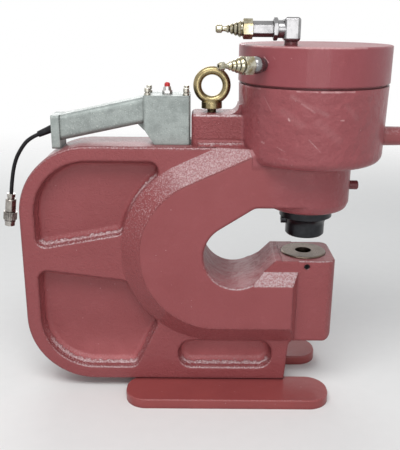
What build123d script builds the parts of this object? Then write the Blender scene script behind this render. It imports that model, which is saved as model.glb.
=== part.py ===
"""Hydraulic C-frame hole punch, in millimetres.

A cast C-frame stands on two foot plates. Its upper jaw is the press cylinder, its lower jaw
carries the die. Sizes are worked out from the punch axis (x = 0, y = 0) and the floor (z = 0).
At the end everything is shifted along x, so that the origin lies on the floor, midway along
the machine. +X runs from the back of the frame to the throat, and -Y faces the operator.
"""

import math
import os

from build123d import *

# Clearances that pieces share
overrun = 6.0           # how far a cutting shape runs past the face that it cuts
running_gap = 0.06      # radial gap of a sliding fit
thread_gap = 0.1        # radial gap of a screwed piece in its hole
seat_gap = 0.3          # gap between pieces that are drawn up to each other
seal_gap = 0.04         # radial gap of a seal on the face that it wipes

# Frame casting: rim plate and its pockets
frame_tail = 73.0        # frame behind the grip's lower end
frame_base_z = 17.5
frame_top_z = 452.0
frame_corner_radius = 120.0
rim_half = 50.0
rim_width = 26.0
rim_edge_radius = 5.0
web_edge_x = -26.0
web_edge_lean = 5.0
web_root_radius = 14.0
spoke_end_z = 251.0
spoke_end_half = 16.0
spoke_root_x = -300.0
spoke_root_z = 257.0
spoke_root_half = 47.0
pocket_depth = 21.0
pocket_wall = 13.0
pocket_steps = 4
pocket_turn_share = 0.9
pocket_corner_radius = 16.0
pocket_mouth = 3.0
lower_pocket_end_x = -261.0
lower_pocket_end_lean = 62.0
slot_left_x = -224.0
slot_right_x = -56.0
slot_height = 53.0

# Frame casting: raised C-band round the throat
band_half = 73.0
band_centre_x = -155.0
band_centre_z = 268.0
band_radius = 135.5
band_wall_run = 34.0
band_rise = 24.5
jaw_end_x = -25.5
jaw_end_run = 10.5
jaw_ledge_z = 213.0
jaw_ledge_x = -93.0
throat_x = -123.5
throat_z = 267.0
throat_radius = 58.0
throat_slope = 32.8
throat_top_z = 354.0
throat_top_radius = 20.0
throat_ramp = 45.0
throat_edge = 2.5
band_edge_radius = 4.0

# Frame casting: die block of the lower jaw
block_half = 53.0
block_front_x = 51.0
block_top_z = 253.5
block_base_z = 100.5
block_corner_radius = 17.0
block_edge_radius = 3.0

# Frame casting: press cylinder and its nose
barrel_radius = 124.0
barrel_draft = 2.0
barrel_top_z = 553.0
barrel_base_z = 426.0
barrel_corner_radius = 16.0
nose_radius = 73.0
nose_draft = 3.0
nose_root_radius = 7.0
nose_wall_z = 346.0
nose_base_z = 340.0
nose_corner_run = 10.0
nose_corner_radius = 12.0
bore_radius = 85.0
bore_floor_z = 440.0
cap_thread_radius = 92.0
cap_seat_z = 525.0
gland_radius = 50.0
gland_seat_z = 362.0
stripper_thread_radius = 38.0

# Frame casting: eyebolt boss
boss_lead = 34.0         # boss behind the eyebolt's axis
boss_half = 38.0
boss_top_z = 504.0
boss_corner_radius = 12.0
boss_root_radius = 10.0
boss_neck_radius = 15.0

# Foot plates
foot_inner_y = 36.0
foot_width = 83.0
foot_left_x = -318.0
foot_right_x = 45.0
foot_corner_radius = 38.0
foot_edge_radius = 3.0
foot_weld = 6.0

# Die, its seat and its set screw
die_radius = 40.0
die_hole_radius = 14.5
die_relief_radius = 17.0
die_land = 12.0
die_proud = 2.5
die_depth = 30.0
die_edge = 1.5
slug_hole_radius = 24.0
set_screw_radius = 5.0
set_screw_drop = 10.5
set_screw_sunk = 4.0
set_screw_point_radius = 3.0
set_screw_bite = 2.0
set_screw_flats = 5.0
set_screw_socket = 5.0

# Cylinder cap, its seal and the tube that feeds the return side
cap_lip = 1.0            # how far the cap stands out over the barrel
cap_base_z = 556.0
cap_top_z = 616.0
cap_step = 6.0
cap_edge_radius = 2.5
cap_seal_z = 537.0
cap_seal_radius = 2.4
port_drill_radius = 4.0
port_thread_radius = 8.0
port_thread_depth = 16.0
tube_radius = 9.0
tube_bore_radius = 5.0
tube_grip = 26.0
tube_end_z = 462.0

# Ram: piston, rod and seals, at the top of the stroke
ram_stroke = 40.0
piston_top_z = 523.0
piston_room = 2.0        # left under the piston at full stroke
piston_edge = 2.0
piston_seal_z = 508.0
piston_seal_height = 9.0
piston_seal_depth = 6.0
wear_ring_z = 484.5
wear_ring_height = 7.0
wear_ring_depth = 2.5
rod_radius = 40.0
rod_end_z = 404.0
rod_spigot_radius = 20.0
rod_spigot_length = 20.0
rod_hollow_radius = 14.0
rod_hollow_top_z = 500.0
rod_hollow_end_z = 452.0
return_drill_z = 490.0
return_drill_reach = 58.0
tube_seal_z = 512.0
tube_seal_height = 6.0
tube_seal_depth = 4.0

# Guide bush, rod seals and the screw that locks the bush in the nose
rod_seal_z = 428.0
rod_seal_height = 8.0
rod_seal_depth = 6.0
wiper_height = 6.0
wiper_depth = 4.0
lock_pin_z = 378.0
lock_pin_radius = 8.0
lock_pin_reach = 16.0
lock_pin_point_radius = 6.0
lock_pin_bite = 6.0
lock_pin_edge = 1.5

# Punch, its nut and the stripper
punch_radius = 14.0
punch_tip_z = 291.0
punch_head_radius = 18.5
punch_head_height = 8.0
nut_radius = 24.5
nut_floor = 8.0
nut_flats = 43.0
nut_flats_height = 14.0
stripper_radius = 34.2
stripper_base_z = 289.0
stripper_floor = 9.0
stripper_hole_radius = 15.2
stripper_bore_radius = 26.0
stripper_flange_radius = 46.0
stripper_flange = 16.0
stripper_flare = 13.0
stripper_spigot = 15.0
stripper_edge = 2.5
lock_screw_z = 315.0
lock_screw_radius = 7.5
lock_screw_head = 9.9
lock_screw_seat = 0.9
lock_screw_shank_radius = 3.0
lock_screw_flats = 6.0
lock_screw_socket = 4.0

# Eyebolt
eye_room = 12.5          # between the ring and the cap
eye_z = 548.0
eye_radius = 24.5
eye_wire_radius = 7.0
eye_collar_radius = 17.5
eye_collar_base_z = 510.5
eye_collar_height = 14.0
eye_collar_bevel = 4.0
eye_neck_radius = 7.0
eye_thread_radius = 8.0
eye_thread_depth = 30.0

# Steering bar
bar_radius = 16.4
bar_end_radius = 15.0
bar_z = 465.0
bar_grip = 16.0
bar_reach = 76.0
bar_round = 6.0

# Hose fitting on top of the cap
port_x = -48.0
port_y = -60.0
adapter_radius = 10.5
adapter_height = 6.0
elbow_width = 26.0
elbow_height = 36.0
elbow_depth = 28.0
elbow_round = 5.0
elbow_boss_radius = 13.5
elbow_boss = 8.5
elbow_thread_radius = 8.5
lock_nut_flats = 30.0
lock_nut_width = 7.0
extension_flats = 21.0
extension_length = 32.0
extension_spigot = 10.0
passage_radius = 4.0

# Nipples for the two hoses
nipple_flats = 27.0
nipple_hex = 16.0
nipple_chamfer = 2.5
nipple_ridges = 4
nipple_ridge_radius = 13.0
nipple_ridge_step = 2.1
nipple_ridge_pitch = 6.2
nipple_ridge_depth = 2.2
nipple_neck_radius = 3.8
nipple_neck = 4.2
nipple_cone = 3.0
nipple_tip_radius = 6.4
nipple_tip = 9.0
nipple_tip_edge = 2.0
nipple_bore_radius = 2.6

# Hose fitting on the side of the cap
side_port_angle = 42.0
side_port_z = 588.0
side_stub_radius = 10.0
side_elbow_reach = 14.0
side_elbow_radius = 13.2
side_elbow_face = 9.0
side_nipple_turn = 27.0

# Handle casting, end plate and switch box
grip_length = 141.0
grip_left_low_z = 456.0
grip_left_height = 43.0
grip_right_low_z = 486.5
grip_right_height = 43.5
grip_half = 22.0
grip_round = 9.0
box_length = 78.0
box_room = 2.0           # between the box and the boss
box_half = 29.0
box_top_z = 530.5
box_wall = 4.0
box_round = 4.0
box_toe_run = 18.0
box_toe_rise = 27.0
box_heel_radius = 13.0
box_post_radius = 5.5
box_post_inset = 7.0
end_plate_thick = 14.0
end_plate_half = 26.0
end_plate_top_z = 499.0
end_plate_round = 4.0
end_screw_radius = 3.0
end_screw_head_radius = 5.0
end_screw_head = 5.0
end_screw_length = 24.0
end_screw_spread = 13.0
handle_bolt_radius = 4.0
handle_bolt_head_radius = 6.5
handle_bolt_head = 8.0
handle_bolt_depth = 24.0
handle_bolt_spread = 22.0
handle_bolt_flats = 6.0
cover_thick = 3.0
cover_screw_radius = 2.5
cover_screw_length = 12.0
cover_washer_radius = 5.4
cover_washer = 3.5
cover_neck_radius = 3.6
cover_neck = 2.0
cover_head_radius = 4.8
cover_head = 6.0
cover_slot = 1.4
cover_slot_depth = 2.0

# Push-button switch on the box
button_radius = 4.8
button_top_z = 552.7
button_dome = 2.0
button_shoulder_radius = 5.4
button_shoulder = 2.0
button_travel = 3.0
bushing_flats = 15.0
bushing_hex = 6.0
bushing_collar = 6.5
bushing_collar_radius = 7.3
bushing_mouth_radius = 6.2
bushing_thread_radius = 6.0
switch_width = 17.0
switch_height = 24.0
switch_room = 1.0
switch_round = 1.5

# Cable and its round plug; steps of the route are measured behind the grip, in the middle plane
cable_radius = 3.4
relief_root_radius = 7.0
relief_tip_radius = 5.4
cable_steps = [
    (41.6, 463.2),
    (59.1, 455.7),
    (74.0, 437.5),
    (85.5, 417.0),
    (93.6, 385.0),
    (97.0, 358.0),
]
route_bend_share = 0.45
gland_nut_radius = 7.3
gland_nut = 6.0
gland_neck_radius = 6.2
gland_neck = 4.0
shell_radius = 9.3
shell_length = 23.0
shell_tail_radius = 8.4
shell_tail = 17.0
shell_edge = 1.2
plug_ring_radius = 11.9
plug_ring_length = 14.0
plug_ring_gap = 0.35
plug_ring_ribs = 24
plug_ring_rib = 0.8
insert_radius = 7.2
insert_flange_radius = 9.7
insert_flange = 2.0
insert_nose_radius = 8.8
insert_nose = 7.0
insert_recess = 4.0
insert_recess_radius = 7.0

# Places worked out from the sizes above
cap_radius = barrel_radius + cap_lip
nose_base_radius = nose_radius - nose_draft - nose_corner_run
bar_socket_x = barrel_radius - bar_grip
bar_end_x = barrel_radius + bar_reach
lock_pin_end_x = nose_radius + lock_pin_reach
eye_x = -cap_radius - eye_room - eye_wire_radius - eye_radius
boss_left_x = eye_x - boss_lead
box_right_x = boss_left_x - box_room
box_left_x = box_right_x - box_length
grip_left_x = box_left_x - grip_length
cable_route = [(grip_left_x - step, z) for step, z in cable_steps]
frame_left = frame_tail - grip_left_x
frame_shift = (frame_left - bar_end_x) / 2
set_screw_z = block_top_z - set_screw_drop
die_top_z = block_top_z + die_proud
piston_base_z = bore_floor_z + ram_stroke + piston_room
die_seat_z = block_top_z - die_depth
elbow_z = cap_top_z + adapter_height + elbow_height / 2
slot_low_z = frame_base_z + rim_width
corner_x = -frame_left + frame_corner_radius
corner_z = frame_top_z - frame_corner_radius
box_floor_z = frame_top_z + box_wall
button_x = (box_left_x + box_right_x) / 2
shoulder_top_z = box_top_z - seat_gap
cover_top_z = box_top_z + cover_thick
rod_spigot_end_z = rod_end_z - rod_spigot_length
nut_base_z = rod_spigot_end_z - punch_head_height - nut_floor


def slab(face, half):
    """Plate of an outline drawn in x and z, as thick as twice half."""
    return extrude(Plane.XZ * face, half, both=True)


def polygon(*points):
    return make_face(Polyline(*points, close=True))


def turned(*points):
    """Solid of revolution about the upright axis, from (radius, height) points."""
    return revolve(Plane.XZ * polygon(*points), Axis.Z)


def ring(inner, outer, low, high):
    return turned((inner, low), (outer, low), (outer, high), (inner, high))


def rod(radius, low, high):
    return extrude(Plane.XY.offset(low) * Circle(radius), high - low)


def hex_rod(flats, low, high):
    return extrude(Plane.XY.offset(low) * RegularPolygon(flats / 2, 6, major_radius=False), high - low)


def block(low, high):
    """Box between two opposite corners."""
    size = [b - a for a, b in zip(low, high)]
    middle = [(a + b) / 2 for a, b in zip(low, high)]
    return Pos(*middle) * Box(*size)


def facing(origin, direction):
    """Place whose upright axis points along a direction."""
    return Plane(origin=origin, z_dir=direction)


def rounded(outline, radius):
    """The same outline with its outer corners rounded."""
    return offset(offset(outline, -radius, kind=Kind.INTERSECTION), radius, kind=Kind.ARC)


def rim_outline():
    root_z = block_base_z - web_root_radius
    root_x = web_edge_x + web_root_radius
    corner = (-frame_left, frame_base_z)
    edge = Polyline(corner, (web_edge_x - web_edge_lean, frame_base_z), (web_edge_x, root_z))
    root = RadiusArc((web_edge_x, root_z), (root_x, block_base_z), web_root_radius)
    top = (web_edge_x, frame_top_z)
    back = Polyline((root_x, block_base_z), (root_x, jaw_ledge_z), top, (-frame_left, frame_top_z), corner)
    outline = make_face(edge + root + back)
    return fillet(outline.vertices().group_by(Axis.X)[0], frame_corner_radius)


def band_outline(radius):
    """Outline of the C-band: a round back, a level lower edge and a rising upper edge."""
    rise = math.radians(band_rise)
    right_x = band_wall_run + overrun
    low = (band_centre_x, band_centre_z - radius)
    high = (band_centre_x - radius * math.sin(rise), band_centre_z + radius * math.cos(rise))
    top = (right_x, high[1] + (right_x - high[0]) * math.tan(rise))
    back = ThreePointArc(low, (band_centre_x - radius, band_centre_z), high)
    return make_face(Polyline(high, top, (right_x, low[1]), low) + back)


def throat_outline():
    """Open throat: level roof, slope, round bottom and the ramp up to the die block."""
    slope = math.radians(throat_slope)
    ramp = math.radians(throat_ramp)
    far_x = barrel_radius + overrun
    roof_x = throat_x - throat_radius * math.sin(slope)
    roof_z = throat_z + throat_radius * math.cos(slope)
    bottom_x = throat_x + throat_radius * math.sin(ramp)
    bottom_z = throat_z - throat_radius * math.cos(ramp)
    lip_x = bottom_x + (block_top_z - bottom_z) / math.tan(ramp)
    knee = (roof_x + (throat_top_z - roof_z) / math.tan(slope), throat_top_z)
    roof = Polyline((roof_x, roof_z), knee, (far_x, throat_top_z))
    front = Polyline((far_x, throat_top_z), (far_x, block_top_z), (lip_x, block_top_z), (bottom_x, bottom_z))
    back = ThreePointArc((bottom_x, bottom_z), (throat_x - throat_radius, throat_z), (roof_x, roof_z))
    outline = make_face(roof + front + back)
    knee_corner = outline.vertices().sort_by_distance((knee[0], knee[1], 0))[0]
    return fillet(knee_corner, throat_top_radius)


def throat_cut():
    """Throat through the whole frame, bevelled where it comes out of the band's faces."""
    outline = throat_outline()
    bevel = extrude(Plane.XZ.offset(band_half) * offset(outline, throat_edge), -throat_edge, taper=45)
    return slab(outline, band_half + overrun) + bevel + mirror(bevel, Plane.XZ)


def ramp_lip_x():
    ramp = math.radians(throat_ramp)
    bottom_z = throat_z - throat_radius * math.cos(ramp)
    return throat_x + throat_radius * math.sin(ramp) + (block_top_z - bottom_z) / math.tan(ramp)


def c_band():
    """Band that stands proud of the rim on both faces, with sloping walls all round."""
    draft = math.degrees(math.atan2(band_wall_run, band_half - rim_half))
    base = band_outline(band_radius + band_wall_run)
    core = slab(base, rim_half)
    side = extrude(Plane.XZ.offset(rim_half) * base, band_half - rim_half, taper=draft)
    side = fillet(side.faces().sort_by(Axis.Y)[0].edges(), band_edge_radius)
    band = core + side + mirror(side, Plane.XZ)
    step = band_half - block_half
    out_y = band_half + overrun
    out_x = jaw_end_x - overrun * jaw_end_run / step
    far_x = band_wall_run + 2 * overrun
    root_x = jaw_end_x + jaw_end_run
    end = polygon((out_x, -out_y), (root_x, -block_half), (root_x, block_half), (out_x, out_y),
                  (far_x, out_y), (far_x, -out_y))
    band -= extrude(end, throat_z)
    band -= block((0, -out_y, throat_z), (far_x, out_y, barrel_top_z))
    band -= block((-frame_left, -out_y, frame_top_z), (far_x, out_y, barrel_top_z))
    ledge = polygon((block_half, jaw_ledge_z + step), (out_y, jaw_ledge_z - overrun),
                    (out_y, throat_z), (block_half, throat_z))
    shelf = Pos(jaw_ledge_x, 0, 0) * extrude(Plane.YZ * ledge, far_x - jaw_ledge_x)
    return band - shelf - mirror(shelf, Plane.XZ)


def die_block():
    lip_x = ramp_lip_x()
    toe_z = band_centre_z - band_radius
    outline = polygon((lip_x, block_top_z), (block_front_x, block_top_z), (block_front_x, block_base_z),
                      (web_edge_x + jaw_end_run, block_base_z), (lip_x, toe_z))
    body = slab(outline, block_half)
    front = body.faces().sort_by(Axis.X)[-1]
    body = fillet(front.edges().filter_by(Axis.Z) + front.edges().sort_by(Axis.Z)[0:1], block_corner_radius)
    top = body.faces().sort_by(Axis.Z)[-1]
    return fillet(top.edges().filter_by(lambda e: e.center().X > lip_x + overrun), block_edge_radius)


def eyebolt_boss():
    """Boss on top of the rim that runs into the barrel and takes the eyebolt."""
    low_z = frame_top_z - rim_width
    right_x = -bore_radius - boss_neck_radius
    neck_x = -barrel_radius - boss_neck_radius
    outline = polygon((boss_left_x, low_z), (boss_left_x, boss_top_z),
                      (right_x, boss_top_z), (right_x, low_z))
    body = slab(outline, boss_half)
    left = body.faces().sort_by(Axis.X)[0]
    body = fillet(left.edges().filter_by(Axis.Z), boss_corner_radius)
    top = body.faces().sort_by(Axis.Z)[-1]
    body = fillet(top.edges().filter_by(lambda e: e.center().X < right_x - overrun), rim_edge_radius)
    inner = boss_half - boss_corner_radius
    corner = polygon((0, 0), (boss_root_radius, 0), (0, boss_root_radius))
    hollow = Pos(boss_root_radius, boss_root_radius) * Circle(boss_root_radius)
    start_x = boss_left_x + boss_corner_radius
    start = Plane((start_x, boss_half, frame_top_z), x_dir=(0, 1, 0), z_dir=(1, 0, 0))
    root = extrude(start * (corner - hollow), right_x - start_x)
    body += root + mirror(root, Plane.XZ)
    neck = polygon((neck_x, boss_top_z), (right_x, boss_top_z), (right_x, boss_top_z + boss_neck_radius),
                   (-barrel_radius, boss_top_z + boss_neck_radius))
    scoop = Pos(neck_x, 0, boss_top_z + boss_neck_radius) * (
        Rot(90, 0, 0) * Cylinder(boss_neck_radius, 2 * boss_half))
    return body + (slab(neck, inner) - scoop)


def press_barrel():
    """Outside of the press cylinder and its nose, as one turned form."""
    low_radius = barrel_radius - barrel_draft
    corner_z_low = barrel_base_z + barrel_corner_radius
    corner_r = low_radius - barrel_corner_radius
    root_r = nose_radius + nose_root_radius
    nose_low = (nose_radius - nose_draft, nose_wall_z)
    nose_base = Line((0, nose_base_z), (nose_base_radius, nose_base_z))
    nose_corner = RadiusArc((nose_base_radius, nose_base_z), nose_low, -nose_corner_radius)
    nose = Polyline(nose_low, (nose_radius, throat_top_z), (nose_radius, barrel_base_z - nose_root_radius))
    root_z = barrel_base_z - nose_root_radius
    root = RadiusArc((nose_radius, root_z), (root_r, barrel_base_z), nose_root_radius)
    floor = Line((root_r, barrel_base_z), (corner_r, barrel_base_z))
    corner = RadiusArc((corner_r, barrel_base_z), (low_radius, corner_z_low), -barrel_corner_radius)
    wall = Polyline((low_radius, corner_z_low), (barrel_radius, barrel_top_z),
                    (0, barrel_top_z), (0, nose_base_z))
    outline = nose_base + nose_corner + nose + root + floor + corner + wall
    return revolve(Plane.XZ * make_face(outline), Axis.Z)


def pocket_cut(outline):
    """Pocket in both faces of the rim: bevelled mouth, then a wall that curves into the floor."""
    steps = [(-pocket_mouth, 0)]
    for k in range(pocket_steps + 1):
        turn = math.pi / 2 * k / pocket_steps * pocket_turn_share
        steps.append((pocket_wall * (1 - math.cos(turn)), pocket_mouth + pocket_depth * math.sin(turn)))
    cut = None
    for (inset, depth), (next_inset, next_depth) in zip(steps, steps[1:]):
        draft = math.degrees(math.atan2(next_inset - inset, next_depth - depth))
        face = Plane.XZ.offset(rim_half - depth) * offset(outline, -inset)
        layer = extrude(face, depth - next_depth, taper=draft)
        cut = layer if cut is None else cut + layer
    return cut + mirror(cut, Plane.XZ)


def pocket_outlines():
    """Upper and lower pockets fill the rim around the spoke; the slot lies under the band."""
    inner = offset(rim_outline(), -rim_width, kind=Kind.INTERSECTION)
    room = inner - band_outline(band_radius + band_wall_run)
    left_x = -frame_left
    above = polygon((left_x, spoke_end_z + spoke_end_half), (spoke_root_x, spoke_root_z + spoke_root_half),
                    (0, spoke_root_z + spoke_root_half), (0, frame_top_z), (left_x, frame_top_z))
    low_z = spoke_root_z - spoke_root_half
    end_z = band_centre_z - band_radius
    end_foot = (lower_pocket_end_x - lower_pocket_end_lean, 0)
    end_top = (end_foot[0] + lower_pocket_end_lean * low_z / end_z, low_z)
    below = polygon((left_x, spoke_end_z - spoke_end_half), (spoke_root_x, low_z), end_top,
                    end_foot, (left_x, 0))
    slot_x = (slot_left_x + slot_right_x) / 2
    slot_z = slot_low_z + slot_height / 2
    slot = Pos(slot_x, slot_z) * RectangleRounded(
        slot_right_x - slot_left_x, slot_height, slot_height / 2 - pocket_mouth)
    upper = room & above
    lower = room & below
    return [rounded(area, pocket_corner_radius) for area in (upper, lower)] + [slot]


def barrel_bores():
    """Everything that is bored on the punch axis, from the cap's thread to the slug hole."""
    bores = rod(cap_thread_radius, cap_seat_z, barrel_top_z + overrun)
    bores += rod(bore_radius, bore_floor_z, cap_seat_z)
    bores += rod(gland_radius, gland_seat_z, bore_floor_z)
    bores += rod(stripper_thread_radius, nose_base_z - overrun, gland_seat_z)
    bores += rod(die_radius + running_gap, die_seat_z, block_top_z + overrun)
    return bores + rod(slug_hole_radius, block_base_z - overrun, die_seat_z)


def screw_holes():
    """Tapped holes: set screw, bush lock screw, eyebolt, steering bar socket and handle bolts."""
    set_hole = facing((0, -block_half - overrun, set_screw_z), (0, 1, 0)) * rod(
        set_screw_radius + thread_gap, 0, block_half + overrun - die_radius + set_screw_bite)
    lock_hole = facing((gland_radius - overrun, 0, lock_pin_z), (1, 0, 0)) * rod(
        lock_pin_radius + thread_gap, 0, nose_radius - gland_radius + 2 * overrun)
    eye_hole = Pos(eye_x, 0, 0) * rod(
        eye_thread_radius + thread_gap, boss_top_z - eye_thread_depth - overrun, boss_top_z + overrun)
    bar_hole = facing((bar_socket_x, 0, bar_z), (1, 0, 0)) * rod(
        bar_radius + thread_gap, 0, barrel_radius - bar_socket_x + overrun)
    holes = set_hole + lock_hole + eye_hole + bar_hole
    for x in handle_bolt_places():
        holes += Pos(x, 0, 0) * rod(
            handle_bolt_radius + thread_gap, frame_top_z - handle_bolt_depth - overrun,
            frame_top_z + overrun)
    return holes


def c_frame():
    plate = slab(rim_outline(), rim_half)
    edges = plate.edges().filter_by(lambda e: abs(abs(e.center().Y) - rim_half) < overrun)
    plate = fillet(edges.filter_by(lambda e: e.center().X < boss_left_x), rim_edge_radius)
    for outline in pocket_outlines():
        plate -= pocket_cut(outline)
    body = (plate + c_band()) - throat_cut()
    body = body + die_block() + eyebolt_boss() + press_barrel()
    return body - barrel_bores() - screw_holes()


def foot_plate():
    """Foot plate on the operator's side; the frame stands on its inner edge."""
    middle_x = (foot_left_x + foot_right_x) / 2
    middle_y = -foot_inner_y - foot_width / 2
    plan = Pos(middle_x, middle_y) * RectangleRounded(
        foot_right_x - foot_left_x, foot_width, foot_corner_radius)
    plate = extrude(plan, frame_base_z)
    top = plate.faces().sort_by(Axis.Z)[-1]
    return fillet(top.edges().filter_by(lambda e: e.center().Y < -rim_half), foot_edge_radius)


def foot_welds():
    """Fillet welds under the frame, along the inner edges of the foot plates and out of sight."""
    start_x = foot_left_x + foot_corner_radius
    end_x = web_edge_x - web_edge_lean
    corner = polygon((0, 0), (-foot_weld, 0), (0, -foot_weld))
    start = Plane((start_x, foot_inner_y, frame_base_z), x_dir=(0, 1, 0), z_dir=(1, 0, 0))
    weld = extrude(start * corner, end_x - start_x)
    return [weld, mirror(weld, Plane.XZ)]


def die():
    relief_z = die_top_z - die_land
    body = turned((die_hole_radius, die_top_z), (die_radius - die_edge, die_top_z),
                  (die_radius, die_top_z - die_edge), (die_radius, die_seat_z),
                  (die_relief_radius, die_seat_z), (die_relief_radius, relief_z),
                  (die_hole_radius, relief_z))
    groove_low = set_screw_z - set_screw_point_radius - seat_gap
    groove_high = set_screw_z + set_screw_point_radius + seat_gap
    return body - ring(die_radius - set_screw_bite, die_radius + overrun, groove_low, groove_high)


def die_set_screw():
    """Headless socket screw in the face of the die block; its point enters the die's groove."""
    head_y = -block_half + set_screw_sunk
    point_y = -die_radius - running_gap
    length = point_y - head_y
    body = rod(set_screw_radius, 0, length)
    body += rod(set_screw_point_radius, length, length + set_screw_bite - seat_gap)
    body -= hex_rod(set_screw_flats, 0, set_screw_socket)
    return facing((0, head_y, set_screw_z), (0, 1, 0)) * body


def side_port_direction():
    turn = math.radians(side_port_angle)
    return (-math.cos(turn), -math.sin(turn), 0)


def cylinder_cap():
    """Screwed cap of the press cylinder, with the two oil ports and the seat of the return tube."""
    spigot_radius = cap_thread_radius - thread_gap
    spigot_z = cap_seat_z + seat_gap
    groove = spigot_radius - 2 * cap_seal_radius + thread_gap
    body = turned((0, spigot_z), (spigot_radius, spigot_z), (spigot_radius, barrel_top_z),
                  (cap_radius - cap_step, barrel_top_z), (cap_radius - cap_step, cap_base_z),
                  (cap_radius, cap_base_z), (cap_radius, cap_top_z), (0, cap_top_z))
    rims = body.edges().filter_by(GeomType.CIRCLE).filter_by(lambda e: abs(e.radius - cap_radius) < seat_gap)
    body = fillet(rims, cap_edge_radius)
    body -= ring(groove - seal_gap, spigot_radius + overrun, cap_seal_z - cap_seal_radius - seal_gap,
                 cap_seal_z + cap_seal_radius + seal_gap)
    body -= rod(tube_radius, spigot_z - overrun, spigot_z + tube_grip)
    body -= rod(tube_bore_radius, spigot_z, side_port_z)
    top = Pos(port_x, port_y, 0) * (rod(port_drill_radius, spigot_z - overrun, cap_top_z)
                                    + rod(port_thread_radius + thread_gap, cap_top_z - port_thread_depth,
                                          cap_top_z + overrun))
    side = facing((0, 0, side_port_z), side_port_direction()) * (
        rod(port_drill_radius, 0, cap_radius)
        + rod(port_thread_radius + thread_gap, cap_radius - port_thread_depth, cap_radius + overrun))
    return body - top - side


def cap_seal():
    centre = cap_thread_radius - cap_seal_radius - seal_gap
    return Pos(0, 0, cap_seal_z) * Torus(centre, cap_seal_radius)


def transfer_tube():
    """Tube that carries oil from the side port through the piston to the return side."""
    top_z = cap_seat_z + seat_gap + tube_grip
    return ring(tube_bore_radius, tube_radius, tube_end_z, top_z)


def ram():
    """Piston and rod in one piece, drilled for the oil of the return side."""
    piston_radius = bore_radius - running_gap
    body = turned((0, rod_spigot_end_z), (rod_spigot_radius, rod_spigot_end_z),
                  (rod_spigot_radius, rod_end_z),
                  (rod_radius - piston_edge, rod_end_z), (rod_radius, rod_end_z + piston_edge),
                  (rod_radius, piston_base_z), (piston_radius - piston_edge, piston_base_z),
                  (piston_radius, piston_base_z + piston_edge), (piston_radius, piston_top_z - piston_edge),
                  (piston_radius - piston_edge, piston_top_z), (0, piston_top_z))
    out = bore_radius + overrun
    body -= ring(piston_radius - piston_seal_depth, out, piston_seal_z, piston_seal_z + piston_seal_height)
    body -= ring(piston_radius - wear_ring_depth, out, wear_ring_z, wear_ring_z + wear_ring_height)
    body -= rod(tube_radius + running_gap, rod_hollow_top_z, piston_top_z + overrun)
    body -= ring(tube_radius, tube_radius + tube_seal_depth, tube_seal_z, tube_seal_z + tube_seal_height)
    body -= rod(rod_hollow_radius, rod_hollow_end_z, rod_hollow_top_z)
    body -= facing((0, 0, return_drill_z), (1, 0, 0)) * rod(
        port_drill_radius, rod_hollow_radius - overrun, return_drill_reach + port_drill_radius)
    return body - Pos(return_drill_reach, 0, 0) * rod(
        port_drill_radius, piston_base_z - overrun, return_drill_z)


def piston_seal():
    outer = bore_radius - seal_gap
    inner = bore_radius - running_gap - piston_seal_depth
    return ring(inner, outer, piston_seal_z, piston_seal_z + piston_seal_height)


def wear_ring():
    outer = bore_radius - seal_gap
    inner = bore_radius - running_gap - wear_ring_depth
    return ring(inner, outer, wear_ring_z, wear_ring_z + wear_ring_height)


def tube_seal():
    top_z = tube_seal_z + tube_seal_height
    return ring(tube_radius + seal_gap, tube_radius + tube_seal_depth, tube_seal_z, top_z)


def guide_bush():
    """Bronze bush that guides the rod in the nose and holds its seal and wiper."""
    inner = rod_radius + running_gap
    body = ring(inner, gland_radius - thread_gap, gland_seat_z, bore_floor_z)
    body -= ring(rod_radius, rod_radius + rod_seal_depth, rod_seal_z, rod_seal_z + rod_seal_height)
    body -= ring(rod_radius, rod_radius + wiper_depth, gland_seat_z - overrun, gland_seat_z + wiper_height)
    return body - facing((0, 0, lock_pin_z), (1, 0, 0)) * rod(
        lock_pin_point_radius + thread_gap, gland_radius - lock_pin_bite, gland_radius + overrun)


def rod_seal():
    return ring(rod_radius + seal_gap, rod_radius + rod_seal_depth, rod_seal_z, rod_seal_z + rod_seal_height)


def rod_wiper():
    return ring(rod_radius + seal_gap, rod_radius + wiper_depth, gland_seat_z, gland_seat_z + wiper_height)


def bush_lock_screw():
    """Screw through the nose whose plain point enters the guide bush."""
    point_x = gland_radius - lock_pin_bite + seat_gap
    seat_x = gland_radius + seat_gap
    body = rod(lock_pin_point_radius, point_x, seat_x)
    body += rod(lock_pin_radius, seat_x, lock_pin_end_x)
    tip = body.faces().sort_by(Axis.Z)[-1]
    return facing((0, 0, lock_pin_z), (1, 0, 0)) * chamfer(tip.edges(), lock_pin_edge)


def punch():
    head_z = rod_spigot_end_z - punch_head_height
    return turned((0, punch_tip_z), (punch_radius, punch_tip_z), (punch_radius, head_z),
                  (punch_head_radius, head_z), (punch_head_radius, rod_spigot_end_z), (0, rod_spigot_end_z))


def punch_nut():
    """Nut that draws the punch's head up against the rod; two flats take a spanner."""
    head_z = nut_base_z + nut_floor
    inner = rod_spigot_radius + thread_gap
    body = turned((punch_radius + thread_gap, nut_base_z), (nut_radius, nut_base_z), (nut_radius, rod_end_z),
                  (inner, rod_end_z), (inner, head_z), (punch_radius + thread_gap, head_z))
    for side in (-1, 1):
        flat_y = sorted((side * nut_flats / 2, side * (nut_radius + overrun)))
        low = (-nut_radius, flat_y[0], nut_base_z - overrun)
        body -= block(low, (nut_radius, flat_y[1], nut_base_z + nut_flats_height))
    return body


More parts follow.
